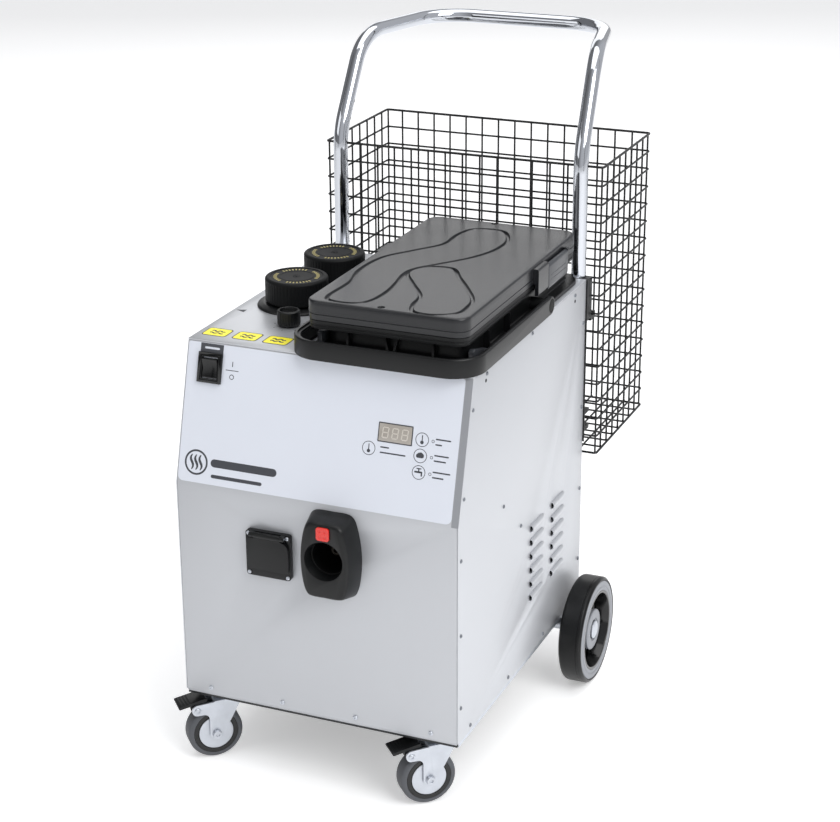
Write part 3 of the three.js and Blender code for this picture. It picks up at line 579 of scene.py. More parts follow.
def screws(places, normal, radius=3.2, height=1.8):
    turn = facing(normal)
    head = screw_head(radius, height)
    return [moved(head, Matrix.Translation(Vector(p)) @ turn) for p in places]


def edge_y(z):
    """How far back the front edge of a side panel is at a height."""
    return max(0.0, (z - CREASE) * SET_BACK / (TOP - CREASE))


def add_panels():
    # The front panel and hem take the darker steel as painted shade. The top panel takes the lighter
    # steel as painted light.
    for node, metal in (("front_panel", STEEL_FRONT_SHADED), ("left_side_panel", STEEL),
                        ("right_side_panel", STEEL), ("rear_panel", STEEL), ("top_panel", STEEL_TOP_LIT)):
        refined(node, metal, 0.5)
    refined("base_tray", TRAY, 0.8)
    low, high = corners_mm("base_tray")
    for name, side in SIDES:
        a, b = sorted((side * (high.x + 0.1), side * (high.x + 1.1)))
        rail = block(a, b, 4, DEPTH - 4, TRAY_BOTTOM - 0.4, BOTTOM - 0.4)
        finish(eased(build(f"side_rail_{name}", rail), 0.3), ZINC, "cabinet")
    hem = block(-HALF + 2, HALF - 2, low.y - 1.1, low.y - 0.1, BOTTOM - 2.0, BOTTOM - 0.3)
    finish(eased(build("front_hem", hem), 0.3), STEEL_FRONT_SHADED, "cabinet")


def add_cabinet_screws():
    front = [(x, 0, 106.5) for x in (-153.5, -51, 51, 153.5)]
    piece("front_screws", screws(front, (0, -1, 0)), ZINC)
    heads = []
    for _, side in SIDES:
        edge = [(side * HALF, edge_y(z) + 8, z) for z in (145, 244, 344, 421, 524)]
        middle = [(side * HALF, y, z) for y, z in ((151, 357), (215, 304))]
        low = [(side * HALF, y, 105) for y in (40, 174, 307)]
        back = [(side * HALF, 450, z) for z in (156, 263, 384, 505)]
        upper = [(side * HALF, y, 555) for y in (90, 248, 413)]
        heads += screws([*edge, *middle, *low, *back, *upper], (side, 0, 0), 2.6, 1.5)
    rear = [(x, DEPTH, z) for x in (-140, 0, 140) for z in (112, 552)]
    heads += screws(rear, (0, 1, 0))
    piece("cabinet_screws", heads, SCREW)
    plugs = [moved(screw_head(2.6, 0.6), Matrix.Translation((side * HALF, y, 547)) @ facing((side, 0, 0)))
             for _, side in SIDES for y in (87, 413)]
    piece("panel_plugs", plugs, SEAL)


LOUVRE_LENGTH, LOUVRE_HIGH, LOUVRE_OUT = 50, 5.2, 4.6
LOUVRE_COLUMNS = (252, 333)
SHEET = 0.9  # the pressed sheet's thickness


def louvre(side, y, z):
    """A pressed hood, open at its front end and closed by a rounded rear end."""
    rings = []
    stations = [(0.0, 1.0)] + [(LOUVRE_LENGTH - 14 + 14 * math.sin(a), math.cos(a))
                               for a in (0.0, 0.3, 0.6, 0.9, 1.15, 1.35, 1.5)]
    arc = [math.pi * (i / 14 - 0.5) for i in range(15)]
    for along, size in stations:
        tall, deep = LOUVRE_HIGH * size, LOUVRE_OUT * size
        inner_tall, inner_deep = max(tall - SHEET, 0.05), max(deep - SHEET, 0.04)
        outer = [(deep * math.cos(a), tall * math.sin(a)) for a in arc]
        inner = [(inner_deep * math.cos(a), inner_tall * math.sin(a)) for a in reversed(arc)]
        rings.append([Vector((side * (HALF - 0.3 + d), y + along, z + h)) for d, h in outer + inner])
    return loft(rings)


def add_louvres():
    for name, side in SIDES:
        hoods = [louvre(side, y, 184 + 20 * row) for y in LOUVRE_COLUMNS for row in range(6)]
        piece(f"louvres_{name}", hoods, STEEL, angle=50)
        # Near-black blocks inside the panel behind the louvre mouths: painted shade.
        shade_backs = [block(side * (HALF - 5) - 1, side * (HALF - 5) + 1, y - 2, y + 52, 178, 290)
                 for y in LOUVRE_COLUMNS]
        piece(f"louvre_painted_shade_{name}", shade_backs, SHADE_AND_CARD_BLACK)


# ---- facia film, marks and controls

FILM_FACE = -0.28  # local Y of the film's outer face
PRINT_FACE = -0.36
PLATE_STEP = Matrix.Translation((0, -0.1, 0))  # the mark stands in front of its plate
# Plain strokes that stand in for words: (start, end, height) up the slanted panel.
DASHES = ((81, 91, 83.5), (81, 113, 77), (151, 169, 102.5), (151, 158, 96), (151, 168, 83),
          (151, 165, 76.5), (151, 172, 63), (151, 164, 56.5))


def on_facia(outline, material, name, back=FILM_FACE, face=PRINT_FACE):
    shape = moved(prism("front", outline, face, back), facia_matrix())
    return piece(name, [shape], material)


def annulus(u, v, outer, inner, steps=48):
    """A flat ring as two lofted circles, for printed marks on the facia."""
    rings = []
    for radius, w in ((outer, FILM_FACE), (outer, PRINT_FACE), (inner, PRINT_FACE), (inner, FILM_FACE)):
        rings.append([Vector((p.x, w, p.y)) for p in ring(u, v, radius, steps)])
    return loft(rings, cyclic=True)


def mark(outline):
    return prism("front", outline, PRINT_FACE, FILM_FACE)


def bar_mark(u0, v0, u1, v1, thick):
    """A straight printed stroke with round ends."""
    ahead = Vector((u1 - u0, v1 - v0, 0)).normalized() * (thick / 2)
    side = Vector((-ahead.y, ahead.x, 0))
    start, end = Vector((u0, v0, 0)), Vector((u1, v1, 0))
    outline = []
    for centre, sign in ((end, 1), (start, -1)):
        for i in range(9):
            a = math.pi * (i / 8 - 0.5)
            outline.append(centre + (ahead * math.cos(a) + side * math.sin(a)) * sign)
    return mark(outline)


def wave_mark(u, v, height, swing, thick):
    """A rising wavy stroke, the usual sign for steam."""
    line = [Vector((u + swing * math.sin(2 * math.pi * i / 24), v + height * (i / 24 - 0.5),
                    0)) for i in range(25)]
    left, right = [], []
    for i, p in enumerate(line):
        ahead = (line[min(i + 1, 24)] - line[max(i - 1, 0)]).normalized()
        side = Vector((-ahead.y, ahead.x, 0)) * thick * 0.5 * (0.35 + 0.65 * math.sin(math.pi * i / 24))
        left.append(p + side)
        right.append(p - side)
    return mark(right + left[::-1])


def thermometer(u, v):
    return [bar_mark(u, v - 1, u, v + 5, 1.2), mark(ring(u, v - 3.2, 2.2, 24))]


def cloud(u, v):
    outline = rounded([(u - 5, v - 2.6, 1.8), (u + 5, v - 2.6, 2.4), (u + 4.6, v + 1.8, 1.8),
                       (u + 1, v + 4.4, 1.6), (u - 2.6, v + 3.4, 1.6), (u - 5.4, v + 0.8, 1.4)])
    return [mark(outline)]


def tap(u, v):
    return [bar_mark(u - 4.6, v + 0.4, u + 3.6, v + 0.4, 2.2), bar_mark(u, v + 0.4, u, v + 4.4, 1.6),
            bar_mark(u - 2.6, v + 4.6, u + 2.6, v + 4.6, 1.3),
            bar_mark(u + 3.8, v, u + 3.8, v - 3.6, 1.8)]


DIGIT_SEGMENTS = ((0, 1, 0), (0, 0, 0), (0, -1, 0), (-1, 0.5, 1), (1, 0.5, 1), (-1, -0.5, 1),
                  (1, -0.5, 1))


def add_display(low, high):
    """The three-digit window: a thin dark surround, the pane, and seven flat segments for each digit."""
    u0, u1 = low.x, high.x
    v0 = (low.z - CREASE) / math.cos(SLOPE) + 0.2
    v1 = v0 + 21.3
    place = facia_matrix()
    frame_outline = rectangle(u0 - 1.3, u1 + 1.3, v0 - 1.3, v1 + 1.3, 1.2)
    piece("display_surround", [moved(prism("front", frame_outline, -0.5, -0.3), place)], INK)
    glass = moved(prism("front", rectangle(u0, u1, v0, v1, 0.6), -1.1, 1.2), place)
    pane = eased(build("display_pane", glass), 0.25)
    finish(pane, GLASS, "cabinet", "display_window")
    strokes = []
    for digit in range(3):
        u = (u0 + u1) / 2 + (digit - 1) * 12.6
        v = (v0 + v1) / 2
        for across, rise, upright in DIGIT_SEGMENTS:
            cu, cv = u + across * 3.6 + rise * 0.5, v + rise * 6.2
            du, dv = (0.25, 2.2) if upright else (2.4, 0)
            stroke = bar_mark(cu - du, cv - dv, cu + du, cv + dv, 1.5)
            strokes.append(moved(stroke, Matrix.Translation((0, -0.85, 0))))
    piece("display_digits", [moved(joined(*strokes), place)], DIGIT)


def add_facia():
    low = [(-188, 3.5, 7), (180, 3.5, 7)]
    high = [(180, FACIA_HEIGHT - 3, 3), (-188, FACIA_HEIGHT - 3, 3)]
    on_facia(rounded(low + high), FILM, "facia_film", -0.04, FILM_FACE)
    marks = []
    icons = ((133, 99.5, thermometer), (132.5, 80, cloud), (132.5, 60, tap), (65.5, 80, thermometer))
    for u, v, glyph in icons:
        marks.append(annulus(u, v, 8.6, 7.8))
        marks += glyph(u, v)
    for v in (99.5, 80, 60):
        marks.append(annulus(147, v, 1.9, 1.3, 24))
    marks.append(bar_mark(-134, 148.5, -117, 148.5, 0.9))
    marks.append(bar_mark(-125.5, 153.5, -125.5, 159, 1.1))
    marks.append(annulus(-125.5, 140.5, 3.2, 2.3, 32))
    marks.append(annulus(-164, 29, 16, 13.6))
    marks += [wave_mark(-170 + 6 * i, 29, 19, 1.9, 3.4) for i in range(3)]
    marks.append(bar_mark(-139, 31, -58, 31, 10))
    marks.append(bar_mark(-140, 14.5, -74, 14.5, 4.4))
    marks += [bar_mark(u0, v, u1, v, 1.7) for u0, u1, v in DASHES]
    piece("facia_marks", [moved(joined(*marks), facia_matrix())], INK)
    on_facia(rectangle(-171, -139.5, 167, 178.2, 0.5), PLATE, "power_plate")
    dash = moved(bar_mark(-164, 172.8, -146, 172.8, 2.6), facia_matrix() @ PLATE_STEP)
    piece("power_mark", [dash], FILM)
    # The strip at the facia's right edge is darker steel: painted shade and a painted reflection on the
    # bent edge.
    strip = rectangle(180.6, HALF - 0.3, 0.6, FACIA_HEIGHT - 1, 0.4)
    on_facia(strip, STEEL_EDGE_SHADED, "facia_shaded_edge_strip", -0.02, -0.2)
    add_display(*corners_mm("display_window"))


def add_rocker():
    """The mains rocker and its bezel."""
    refined("rocker_bezel", GLOSSY, 0.8, 3)
    refined("rocker_switch", GLOSSY, 0.9, 3)


def add_stickers():
    for i, u in enumerate((-166, -124, -82)):
        y0, y1 = 66, 94
        outline = rectangle(u - 17, u + 17, y0, y1, 5)
        name = f"yellow_label_{i + 1}"
        piece(name + "_edge", [prism("flat", outline, TOP + 0.02, TOP + 0.14)], INK)
        inner = rectangle(u - 15.5, u + 15.5, y0 + 1.5, y1 - 1.5, 3.8)
        piece(name, [prism("flat", inner, TOP + 0.06, TOP + 0.2)], YELLOW)
        strokes = []
        for k in range(2):
            v = y0 + 10.5 + 7 * k
            line = [(u - 9 + 18 * s / 16, v + 1.6 * math.sin(2 * math.pi * s / 8)) for s in range(17)]
            strokes.append(wire([Vector((*p, TOP + 0.12)) for p in line], 1.5, 6))
        squeeze = Matrix.Translation((0, 0, TOP + 0.12)) @ Matrix.Diagonal((1, 1, 0.3, 1))
        flat = moved(joined(*strokes), squeeze @ Matrix.Translation((0, 0, -TOP - 0.12)))
        piece(name + "_sign", [flat], INK)
    arrow = [Vector(p).to_3d() for p in ((-185, 168), (-173, 173), (-173, 163))]
    piece("level_arrow", [prism("flat", arrow, TOP + 0.02, TOP + 0.15)], INK)


# ---- accessory outlet


def add_outlet():
    low, high = corners_mm("outlet_frame")
    x, z = (low.x + high.x) / 2, low.z + 30
    plate = build("outlet_flange",
                  prism("front", rectangle(x - 30.5, x + 30.5, z - 30.5, z + 30.5, 4), -7, -0.3))
    fused(plate, block(x - 23, x + 23, -2, 33.5, z - 23, z + 23))
    cut(plate, block(x - 19, x + 19, -9, 24, z - 19, z + 17))
    ears = []
    hinge = joint_mm("outlet_flap_hinge")
    hinge_y, hinge_z = hinge.y, hinge.z
    for a, b in ((low.x + 7, low.x + 12.6), (high.x - 11, high.x - 5.2)):
        knuckle = [Vector((p.x, p.y, 0)) for p in ring(hinge_y, hinge_z, 3.6, 32)]
        ears += [prism("side", knuckle, a, b), block(a, b, hinge_y, -5, hinge_z - 3.4, hinge_z + 3.4)]
    fused(plate, *ears)
    cut(plate, prism("side", ring(hinge_y, hinge_z, 2, 24), x - 40, x + 40))
    finish(eased(plate, 0.7, 3), BLACK, "cabinet", "outlet_frame")
    heads = screws([(x + a, -7, z + b) for a in (-26.5, 26.5) for b in (-26.5, 26.5)], (0, -1, 0), 2.6,
                   1.5)
    piece("outlet_screws", heads, ZINC)

    lid_low, lid_high = corners_mm("outlet_lid")
    left, right, base = lid_low.x, lid_high.x, lid_low.z
    top = hinge_z - 4.5
    outline = rounded([(left, base, 10), (right, base, 4), (right, top, 12), (left, top, 2)])
    lid = build("outlet_flap", prism("front", outline, -12, -7.5))
    barrel = prism("side", ring(hinge_y, hinge_z, 3.6, 32), x - 17.1, x + 18.7)
    web = block(x - 17.1, x + 18.7, -12, -8.3, hinge_z - 6, hinge_z - 2)
    fused(lid, barrel, web)
    cut(lid, prism("side", ring(hinge_y, hinge_z, 2, 24), x - 40, x + 40))
    finish(eased(lid, 0.9, 3), BLACK, "outlet_flap", "outlet_lid")
    pin = turned("x", [(0, low.x + 7.2, 0), (1.7, low.x + 7.2, 0.4), (1.7, high.x - 5.4, 0.4),
                  (0, high.x - 5.4, 0)], (0, hinge_y, hinge_z), 24)
    piece("outlet_pin", [pin], ZINC, "cabinet", "outlet_hinge_pin")


# ---- hose socket

SOCKET_X, SOCKET_Z = 26, 330.5
SOCKET_OUT = 30
DRAFT_ACROSS, DRAFT_UP, DRAFT_Z = 0.83, 0.88, 331  # the housing's face against its foot


def socket_outline():
    """A housing with bowed sides, wider at its middle than at its ends."""
    half = [(0, 274), (20, 274), (29, 278), (35, 294), (38, 321), (37, 346), (32.5, 370), (27.5, 381),
            (18, 385), (0, 385)]
    right = spline([(SOCKET_X + u, v) for u, v in half], closed=False, steps=5)
    left = [Vector((2 * SOCKET_X - p.x, p.y, 0)) for p in reversed(right[1:-1])]
    return right + left


def socket_ring(outline, y, inset):
    """The housing's outline at a distance out, drawn in by its draft and an inset."""
    share = -y / SOCKET_OUT
    across = (1 - (1 - DRAFT_ACROSS) * share) * (1 - inset / 38)
    up = (1 - (1 - DRAFT_UP) * share) * (1 - inset / 54)
    return [Vector((SOCKET_X + (p.x - SOCKET_X) * across, y,
                    DRAFT_Z + (p.y - DRAFT_Z) * up)) for p in outline]


def add_hose_socket():
    outline = socket_outline()
    levels = ((-0.3, 0), (-25, 0), (-27.2, 0.4), (-28.8, 1.2), (-29.6, 2.1), (-SOCKET_OUT, 3.2))
    rings = [socket_ring(outline, y, inset) for y, inset in levels]
    body = build("socket_housing", loft(rings))
    fused(body, prism("front", ring(SOCKET_X, SOCKET_Z, 29, 96), -3, 40))
    bore = turned("y", [(0, -40, 0), (25.6, -40, 0), (25.6, -29.6, 0), (24, -27.6, 0), (24, 45, 0),
                   (0, 45, 0)], (SOCKET_X, 0, SOCKET_Z), 96)
    pocket = prism("front", rectangle(SOCKET_X - 9, SOCKET_X + 9, 358, 376, 3.4), -40, -2)
    cut(body, bore, pocket)
    finish(eased(body, 0.5, 2, 40), BLACK, "cabinet", "hose_socket", angle=45)

    collar = [(22.6, -14, 0.3), (23.8, -14, 0.3), (23.8, -11, 0.3), (22.6, -11, 0.3)]
    seal = turned("y", collar, (SOCKET_X, 0, SOCKET_Z), 96)
    piece("bore_seal", [seal], SEAL)
    key = rectangle(SOCKET_X - 8.5, SOCKET_X + 8.5, 358.5, 375.5, 3.2)
    button = build("release_button", prism("front", key, -31.6, -8))
    dots = [turned("y", [(0, -33, 0), (2.2, -33, 0), (1.6, -31, 0), (0, -31, 0)],
                   (SOCKET_X + a, 0, 367 + b), 24)
            for a in (-3.6, 3.6) for b in (-3.6, 3.6)]
    cut(button, *dots)
    finish(eased(button, 1.0, 3), RED, "release_button", "hose_release_button")
    # The coupling's brass is painted dark as painted shade inside the bore.
    refined("steam_coupling", BRASS_SHADED, 0.4)


# ---- fillers, caps and knob


def ribbed(count, depth, low, high):
    """Pulls a turned wall in and out by ribs, between two heights."""
    def ripple(radius, along, turn):
        wave = 0.5 + 0.5 * math.cos(count * turn)
        return -depth * wave ** 3 if low < along < high and radius > 10 else 0
    return ripple


def add_filler(name, y):
    low, high = corners_mm(f"{name}_cap")
    x = (low.x + high.x) / 2
    centre = (x, y, 0)
    neck = [(30, 540, 0), (36, 540, 0), (36, TOP + 0.3, 0), (52, TOP + 0.3, 0.4), (50.5, TOP + 3.2, 1.4),
            (44, TOP + 5.6, 2), (36, TOP + 6, 0), (36, 593, 1), (30, 593, 1)]
    piece(f"{name}_neck", [turned("z", neck, centre, 96)], BLACK, "cabinet", f"{name}_filler_neck")
    top, base = high.z, low.z
    wall = [(37, base, 0), (41, base, 0.6), (41, base + 3, 0), (41, top - 6, 0), (41, top - 1.4, 3.0),
            (37.4, top, 0.8), (34.5, top, 0.5), (33.6, top - 0.9, 0.4), (0, top - 0.9, 0),
            (0, top - 5.6, 0), (37, top - 5.6, 0)]
    cap = turned("z", wall, centre, 216, ribbed(54, 0.9, base + 4, top - 5))
    piece(f"{name}_screw_cap", [cap], CAP, f"{name}_cap", f"{name}_cap", angle=30)
    dash = []
    for i in range(40):
        if i % 20 in (8, 9, 18, 19):
            continue
        turn = Matrix.Translation(centre) @ Matrix.Rotation(2 * math.pi * i / 40, 4, "Z")
        dash.append(moved(block(25.5, 30, -0.9, 0.9, top - 0.95, top - 0.72), turn))
    piece(f"{name}_cap_ticks", dash, CAP_PRINT, f"{name}_cap")
    rings = [turned("z", [(r, top - 1, 0), (r + 0.7, top - 1, 0), (r + 0.7, top - 0.6, 0.15),
                     (r, top - 0.6, 0.15)], centre, 96) for r in (21.5, 4.2)]
    pip = turned("z", [(0, top - 1, 0), (1.7, top - 1, 0), (1.7, top - 0.5, 0.3), (0, top - 0.5, 0)],
                 centre, 24)
    piece(f"{name}_cap_rings", [*rings, pip], CAP, f"{name}_cap")
    refined(f"{name}_cap_gasket", SEAL, 0.5)


def add_fillers():
    for name in ("water", "detergent"):
        low, high = corners_mm(f"{name}_cap")
        add_filler(name, (low.y + high.y) / 2)


def add_knob():
    """The detergent knob with its pointer and the scale round it."""
    low, high = corners_mm("control_knob")
    centre = ((low.x + high.x) / 2, (low.y + high.y) / 2, 0)
    radius, top = (high.x - low.x) / 2, high.z
    wall = [(0, TOP - 12, 0), (3.5, TOP - 12, 0), (3.5, TOP + 2, 0), (radius - 0.8, TOP + 2, 0.5),
            (radius, TOP + 4, 0.3), (radius, top - 1.2, 1.0), (radius - 1.8, top, 0.8),
            (radius - 3.6, top, 0.8), (radius - 4.4, top - 5, 0.6), (0, top - 5, 0)]
    knob = turned("z", wall, centre, 144, ribbed(24, 0.9, TOP + 3, top - 2))
    piece("detergent_knob", [knob], BLACK, "knob", "control_knob", angle=30)
    pointer = block(centre[0] - 0.7, centre[0] + 0.7, centre[1] - 10, centre[1] - 3, top - 5.1, top - 4.7)
    piece("knob_pointer", [pointer], FILM, "knob")
    ticks = []
    for i in range(7):
        turn = Matrix.Translation(centre) @ Matrix.Rotation(math.radians(-225 + 45 * i), 4, "Z")
        ticks.append(moved(block(18.5, 21, -0.35, 0.35, TOP + 0.02, TOP + 0.12), turn))
    piece("knob_scale", ticks, INK)


# ---- vacuum head, tank, latches, carry handle

HEAD_CORNER = 18
HEAD_LUG = 7.5
PIVOT_Y, PIVOT_Z = 299.5, 576.4  # the carry handle's pivots
LONG_GROOVE = [(-13, 80), (-12, 142), (-22, 193), (-17, 251), (8, 294), (33, 335), (34, 380), (41, 411),
               (57, 422), (83, 421), (98, 402), (107, 372), (104, 330), (88, 290), (60, 250), (41, 222),
               (37, 196), (43, 158), (46, 120), (42, 84), (28, 68), (2, 66)]
SHORT_GROOVE = [(40, 201), (62, 166), (90, 124), (95, 90), (105, 66), (130, 62), (156, 78), (159, 106),
                (154, 134), (132, 172), (107, 209), (86, 240), (58, 239), (42, 224)]
GROOVE_SECTION = [(-3.4, 1.5), (-3.2, 0.1), (-2.6, -0.5), (-2.2, -2.0), (-1.4, -2.9), (1.4, -2.9),
                  (2.2, -2.0), (2.6, -0.5), (3.2, 0.1), (3.4, 1.5)]


def plan_stack(levels):
    """Rounded rectangles at heights: each level is (x0, x1, y0, y1, corner, z)."""
    rings = []
    for x0, x1, y0, y1, corner, z in levels:
        rings.append([Vector((p.x, p.y, z)) for p in rectangle(x0, x1, y0, y1, corner, steps=10)])
    return loft(rings)


def add_head():
    low, high = corners_mm("vacuum_head")
    x0, x1, y0, y1 = low.x + HEAD_LUG, high.x - HEAD_LUG, low.y, high.y
    base, top = low.z, high.z
    steps = [(7, top - 4), (4.5, top - 4), (4, top - 5), (4, base + 0.4), (3.6, base), (0.8, base),
             (0.3, base + 0.5), (0.3, base + 6.9), (1.1, base + 7.5), (1.1, base + 8.3), (0, base + 8.9),
             (0.2, base + 17), (0.4, top - 2.6), (0.7, top - 1.5), (1.3, top - 0.7), (2.2, top - 0.2),
             (3.2, top), (7.6, top)]
    levels = [(x0 + i, x1 - i, y0 + i, y1 - i, HEAD_CORNER - i, z) for i, z in steps]
    head = build("head_shell", plan_stack(levels))
    section = [Vector((u, v, 0)) for u, v in GROOVE_SECTION]
    for outline in (LONG_GROOVE, SHORT_GROOVE):
        path = spline([(x, y, top) for x, y in outline], steps=7)
        cut(head, swept(path, section, closed=True, fixed=True))
    middle = (x0 + x1) / 2
    screw_spots = [(middle - 7, y0 + 9), (middle - 10, y1 - 8)]
    wells = [turned("z",
                    [(0, top - 2.4, 0), (4.2, top - 2.4, 0.3), (4.6, top - 0.4, 0), (5.4, top + 1, 0),
                     (0, top + 1, 0)], (x, y, 0), 48) for x, y in screw_spots]
    cut(head, *wells)
    lugs = []
    latch_low, latch_high = corners_mm("tank_latch_right")
    for side in (-1, 1):
        near, far = middle + side * (x1 - middle - 1), middle + side * (x1 - middle + HEAD_LUG)
        a, b = min(near, far), max(near, far)
        shoulder, out = middle + side * (x1 - middle + 2.5), middle + side * (x1 - middle + HEAD_LUG)
        hook = [(near, 627, 0), (out, 627, 3), (out, 592, 3), (shoulder, 592, 0), (shoulder, base + 1, 0),
                (near, base + 1, 0)]
        lugs.append(prism("front", rounded(hook), 284, latch_low.y - 0.3))
        lugs.append(prism("front", rectangle(a, b, 614, 624, 3), latch_high.y + 0.3, latch_high.y + 6))
    fused(head, *lugs)
    finish(head, LID, "head", "vacuum_head", angle=30)
    heads = [moved(screw_head(3.6, 1.6), Matrix.Translation((x, y, top - 2.3))) for x, y in screw_spots]
    piece("head_screws", heads, SEAL, "head")
    for name, _ in SIDES:
        refined(f"tank_latch_{name}", LATCH_PLASTIC, 1.0, 3)
        add_latch_ribs(name)
    refined("vacuum_motor", GREY, 0.8)


def add_latch_ribs(name):
    """Two shallow finger ribs along each latch."""
    side = dict(SIDES)[name]
    low, high = corners_mm(f"tank_latch_{name}")
    face = high.x if side > 0 else low.x
    ribs = []
    for z in (601, 607):
        line = [Vector((face - side * 0.35, y, z)) for y in (low.y + 10, high.y - 10)]
        ribs.append(wire(line, 0.8, 12))
    piece(f"latch_ribs_{name}", ribs, LATCH_PLASTIC, f"latch_{name}")


def add_tank():
    """The tank: a deep box under a mounting flange, a neck and the rim that carries the head."""
    low, high = corners_mm("recovery_tank")
    body = (-18, 170, 80, 445, 18)
    inner = (-15, 167, 83, 442, 15)
    rim = (-33, 176, 57, 456, 17)
    flange = (-32, 184, 62, 452, 24)
    rim_top = high.z
    foot = low.z

    def level(outline, z, inset=0.0):
        x0, x1, y0, y1, corner = outline
        return x0 + inset, x1 - inset, y0 + inset, y1 - inset, corner - inset, z

    levels = [level(inner, foot + 3, 6), level(inner, foot + 4, 2), level(inner, foot + 8),
              level(inner, rim_top), level(rim, rim_top, 0.6), level(rim, rim_top - 0.6), level(rim, 601),
              level(rim, 600.2, 0.9), level(rim, 599, 0.9), level(rim, 598.2), level(rim, 595.6),
              level(rim, 595, 0.6), level(body, 595), level(body, 571.5), level(body, 570.6, -1.2),
              level(flange, 570, 0.8), level(flange, 569.2), level(flange, 564.8),
              level(flange, 564.3, 0.5), level(body, 564.3), level(body, foot + 5),
              level(body, foot + 1, 2), level(body, foot, 6)]
    tank = build("tank_shell", plan_stack(levels))
    ribs = []
    for x in (16, 128):
        ribs.append(block(x - 1.5, x + 1.5, 71.5, 80.8, 569.8, 595.2))
    for lean in (-1, 1):
        foot_x = 73 + lean * 2
        outline = [(foot_x, 569.8), (foot_x + lean * 3, 569.8), (foot_x + lean * 9, 595.2),
                   (foot_x + lean * 6, 595.2)]
        outline = [Vector(p).to_3d() for p in (outline if lean > 0 else outline[::-1])]
        ribs.append(prism("front", outline, 72, 80.8))
    for y in (130, 200):
        ribs.append(block(169.4, 178, y - 1.5, y + 1.5, 569.8, 595.2))
    fused(tank, *ribs)
    for side in (-1, 1):
        far = high.x if side > 0 else low.x
        wall = 169 if side > 0 else -17
        stub = [(0, wall, 0), (9, wall, 0), (9, far, 0.9), (6.4, far, 0.3), (5.8, far - side * 1.2, 0.3),
                (0, far - side * 1.2, 0)]
        fused(tank, turned("x", stub, (0, PIVOT_Y, PIVOT_Z), 64))
    finish(tank, BLACK, "tank", "recovery_tank", angle=30)
    # Near-black discs in the pivot ends: painted shade seen through the carry handle's eyes.
    eyes = []
    for side, far in ((-1, low.x), (1, high.x)):
        eye = [(0, far - side * 1.1, 0), (5.6, far - side * 1.1, 0), (8.4, far + side * 0.1, 0),
               (8.4, far + side * 0.4, 0.1), (0, far + side * 0.4, 0)]
        eyes.append(turned("x", eye, (0, PIVOT_Y, PIVOT_Z), 48))
    piece("pivot_painted_shade", eyes, SHADE_AND_CARD_BLACK, "tank")
    gussets = []
    for x0, x1, y0 in ((-25, -19, 74), (171, 178, 78)):
        outline = [(y0, 570.2), (y0 + 46, 570.2), (y0 + 44, 575), (y0 + 4, 586), (y0, 584)]
        gussets.append(prism("side", [Vector(p).to_3d() for p in outline], x0, x1))
    finish(eased(build("tank_gussets", *gussets), 0.6), LATCH_PLASTIC, "tank")


def add_carry_handle():
    """A bail of moulded band with a stepped top edge, round ends and an eye for each pivot."""
    low, high = corners_mm("tank_carry_handle")
    rise = high.z - low.z
    middle_z = (high.z + low.z) / 2
    half = 4
    x0, x1, y0 = low.x + half, high.x - half, low.y + half
    path = rounded([(x0, PIVOT_Y, middle_z, 0), (x0, y0, middle_z, 38), (x1, y0, middle_z, 38),
                    (x1, PIVOT_Y, middle_z, 0)], closed=False, steps=16)
    up = rise / 2
    section = rounded([(-4, -up, 1.2), (-4, up, 2.2), (0.4, up, 0.7), (1.0, up - 2.4, 0.5),
                       (4, up - 2.4, 0.8), (4, up - 5, 0.8), (2.4, up - 6.5, 0.6), (2.4, -up + 3, 0.8),
                       (4, -up + 1.6, 0.6), (4, -up, 0.8)], steps=3)
    handle = build("carry_bail", swept(path, [Vector((-p.x, p.y, 0)) for p in section][::-1], fixed=True))
    for x in (x0, x1):
        a, b = x - half, x + half
        eye = turned("x", [(0, a, 0), (up - 0.01, a, 1.2), (up - 0.01, b, 1.2), (0, b, 0)],
                     (0, PIVOT_Y, middle_z), 64)
        fused(handle, eye)
    cut(handle, prism("side", ring(PIVOT_Y, middle_z, 9.3, 64), low.x - 5, high.x + 5))
    finish(handle, BLACK, "carry_handle", "tank_carry_handle", angle=30)


# ---- push handle


def add_push_handle():
    low, high = corners_mm("push_handle")
    radius = 10
    x, y = high.x - radius, low.y + radius
    top, reach = high.z - radius, high.y - radius
    half = [(x, y, low.z, 0), (x, y, 731.5, 100), (170, 539, top, 70), (128, reach, top, 74)]
    mirrored = [(-a, b, c, r) for a, b, c, r in reversed(half)]
    path = rounded(half + mirrored, closed=False, steps=14)
    tube = build("handle_tube", wire(path, radius, 48))
    finish(tube, CHROME, "cabinet", "push_handle", angle=50)
    plugs = [turned("z", [(0, low.z - 2.6, 0), (8, low.z - 2.6, 2.2), (9.6, low.z - 0.1, 0),
                     (9.6, low.z + 0.1, 0),
                          (0, low.z + 0.1, 0)], (side * x, y, 0), 48) for _, side in SIDES]
    piece("handle_plugs", plugs, BLACK)
    for name, side in SIDES:
        rail_low, rail_high = corners_mm(f"handle_rail_{name}")
        rail = refined(f"handle_rail_{name}", BLACK, 1.0, 3)
        behind = DEPTH + 2.5  # the strip's rear face
        cut(rail, block(rail_low.x - 5, rail_high.x + 5, behind, behind + 22, 320, 344.5),
            block(rail_low.x - 5, rail_high.x + 5, behind, behind + 22, 350.5, 369),
            block(rail_low.x - 5, rail_high.x + 5, behind, behind + 22, 374, 380))
        heads = screws([(side * 158, y + 8.3, z) for z in (522, 548)], (0, 1, 0), 3.4, 1.8)
        piece(f"clip_screws_{name}", heads, ZINC)


# ---- wire basket

BASKET_COLUMNS, BASKET_DEEP, BASKET_ROWS = 16, 8, 16
WIRE_RADIUS = 1.4
BASKET_CORNER = 4


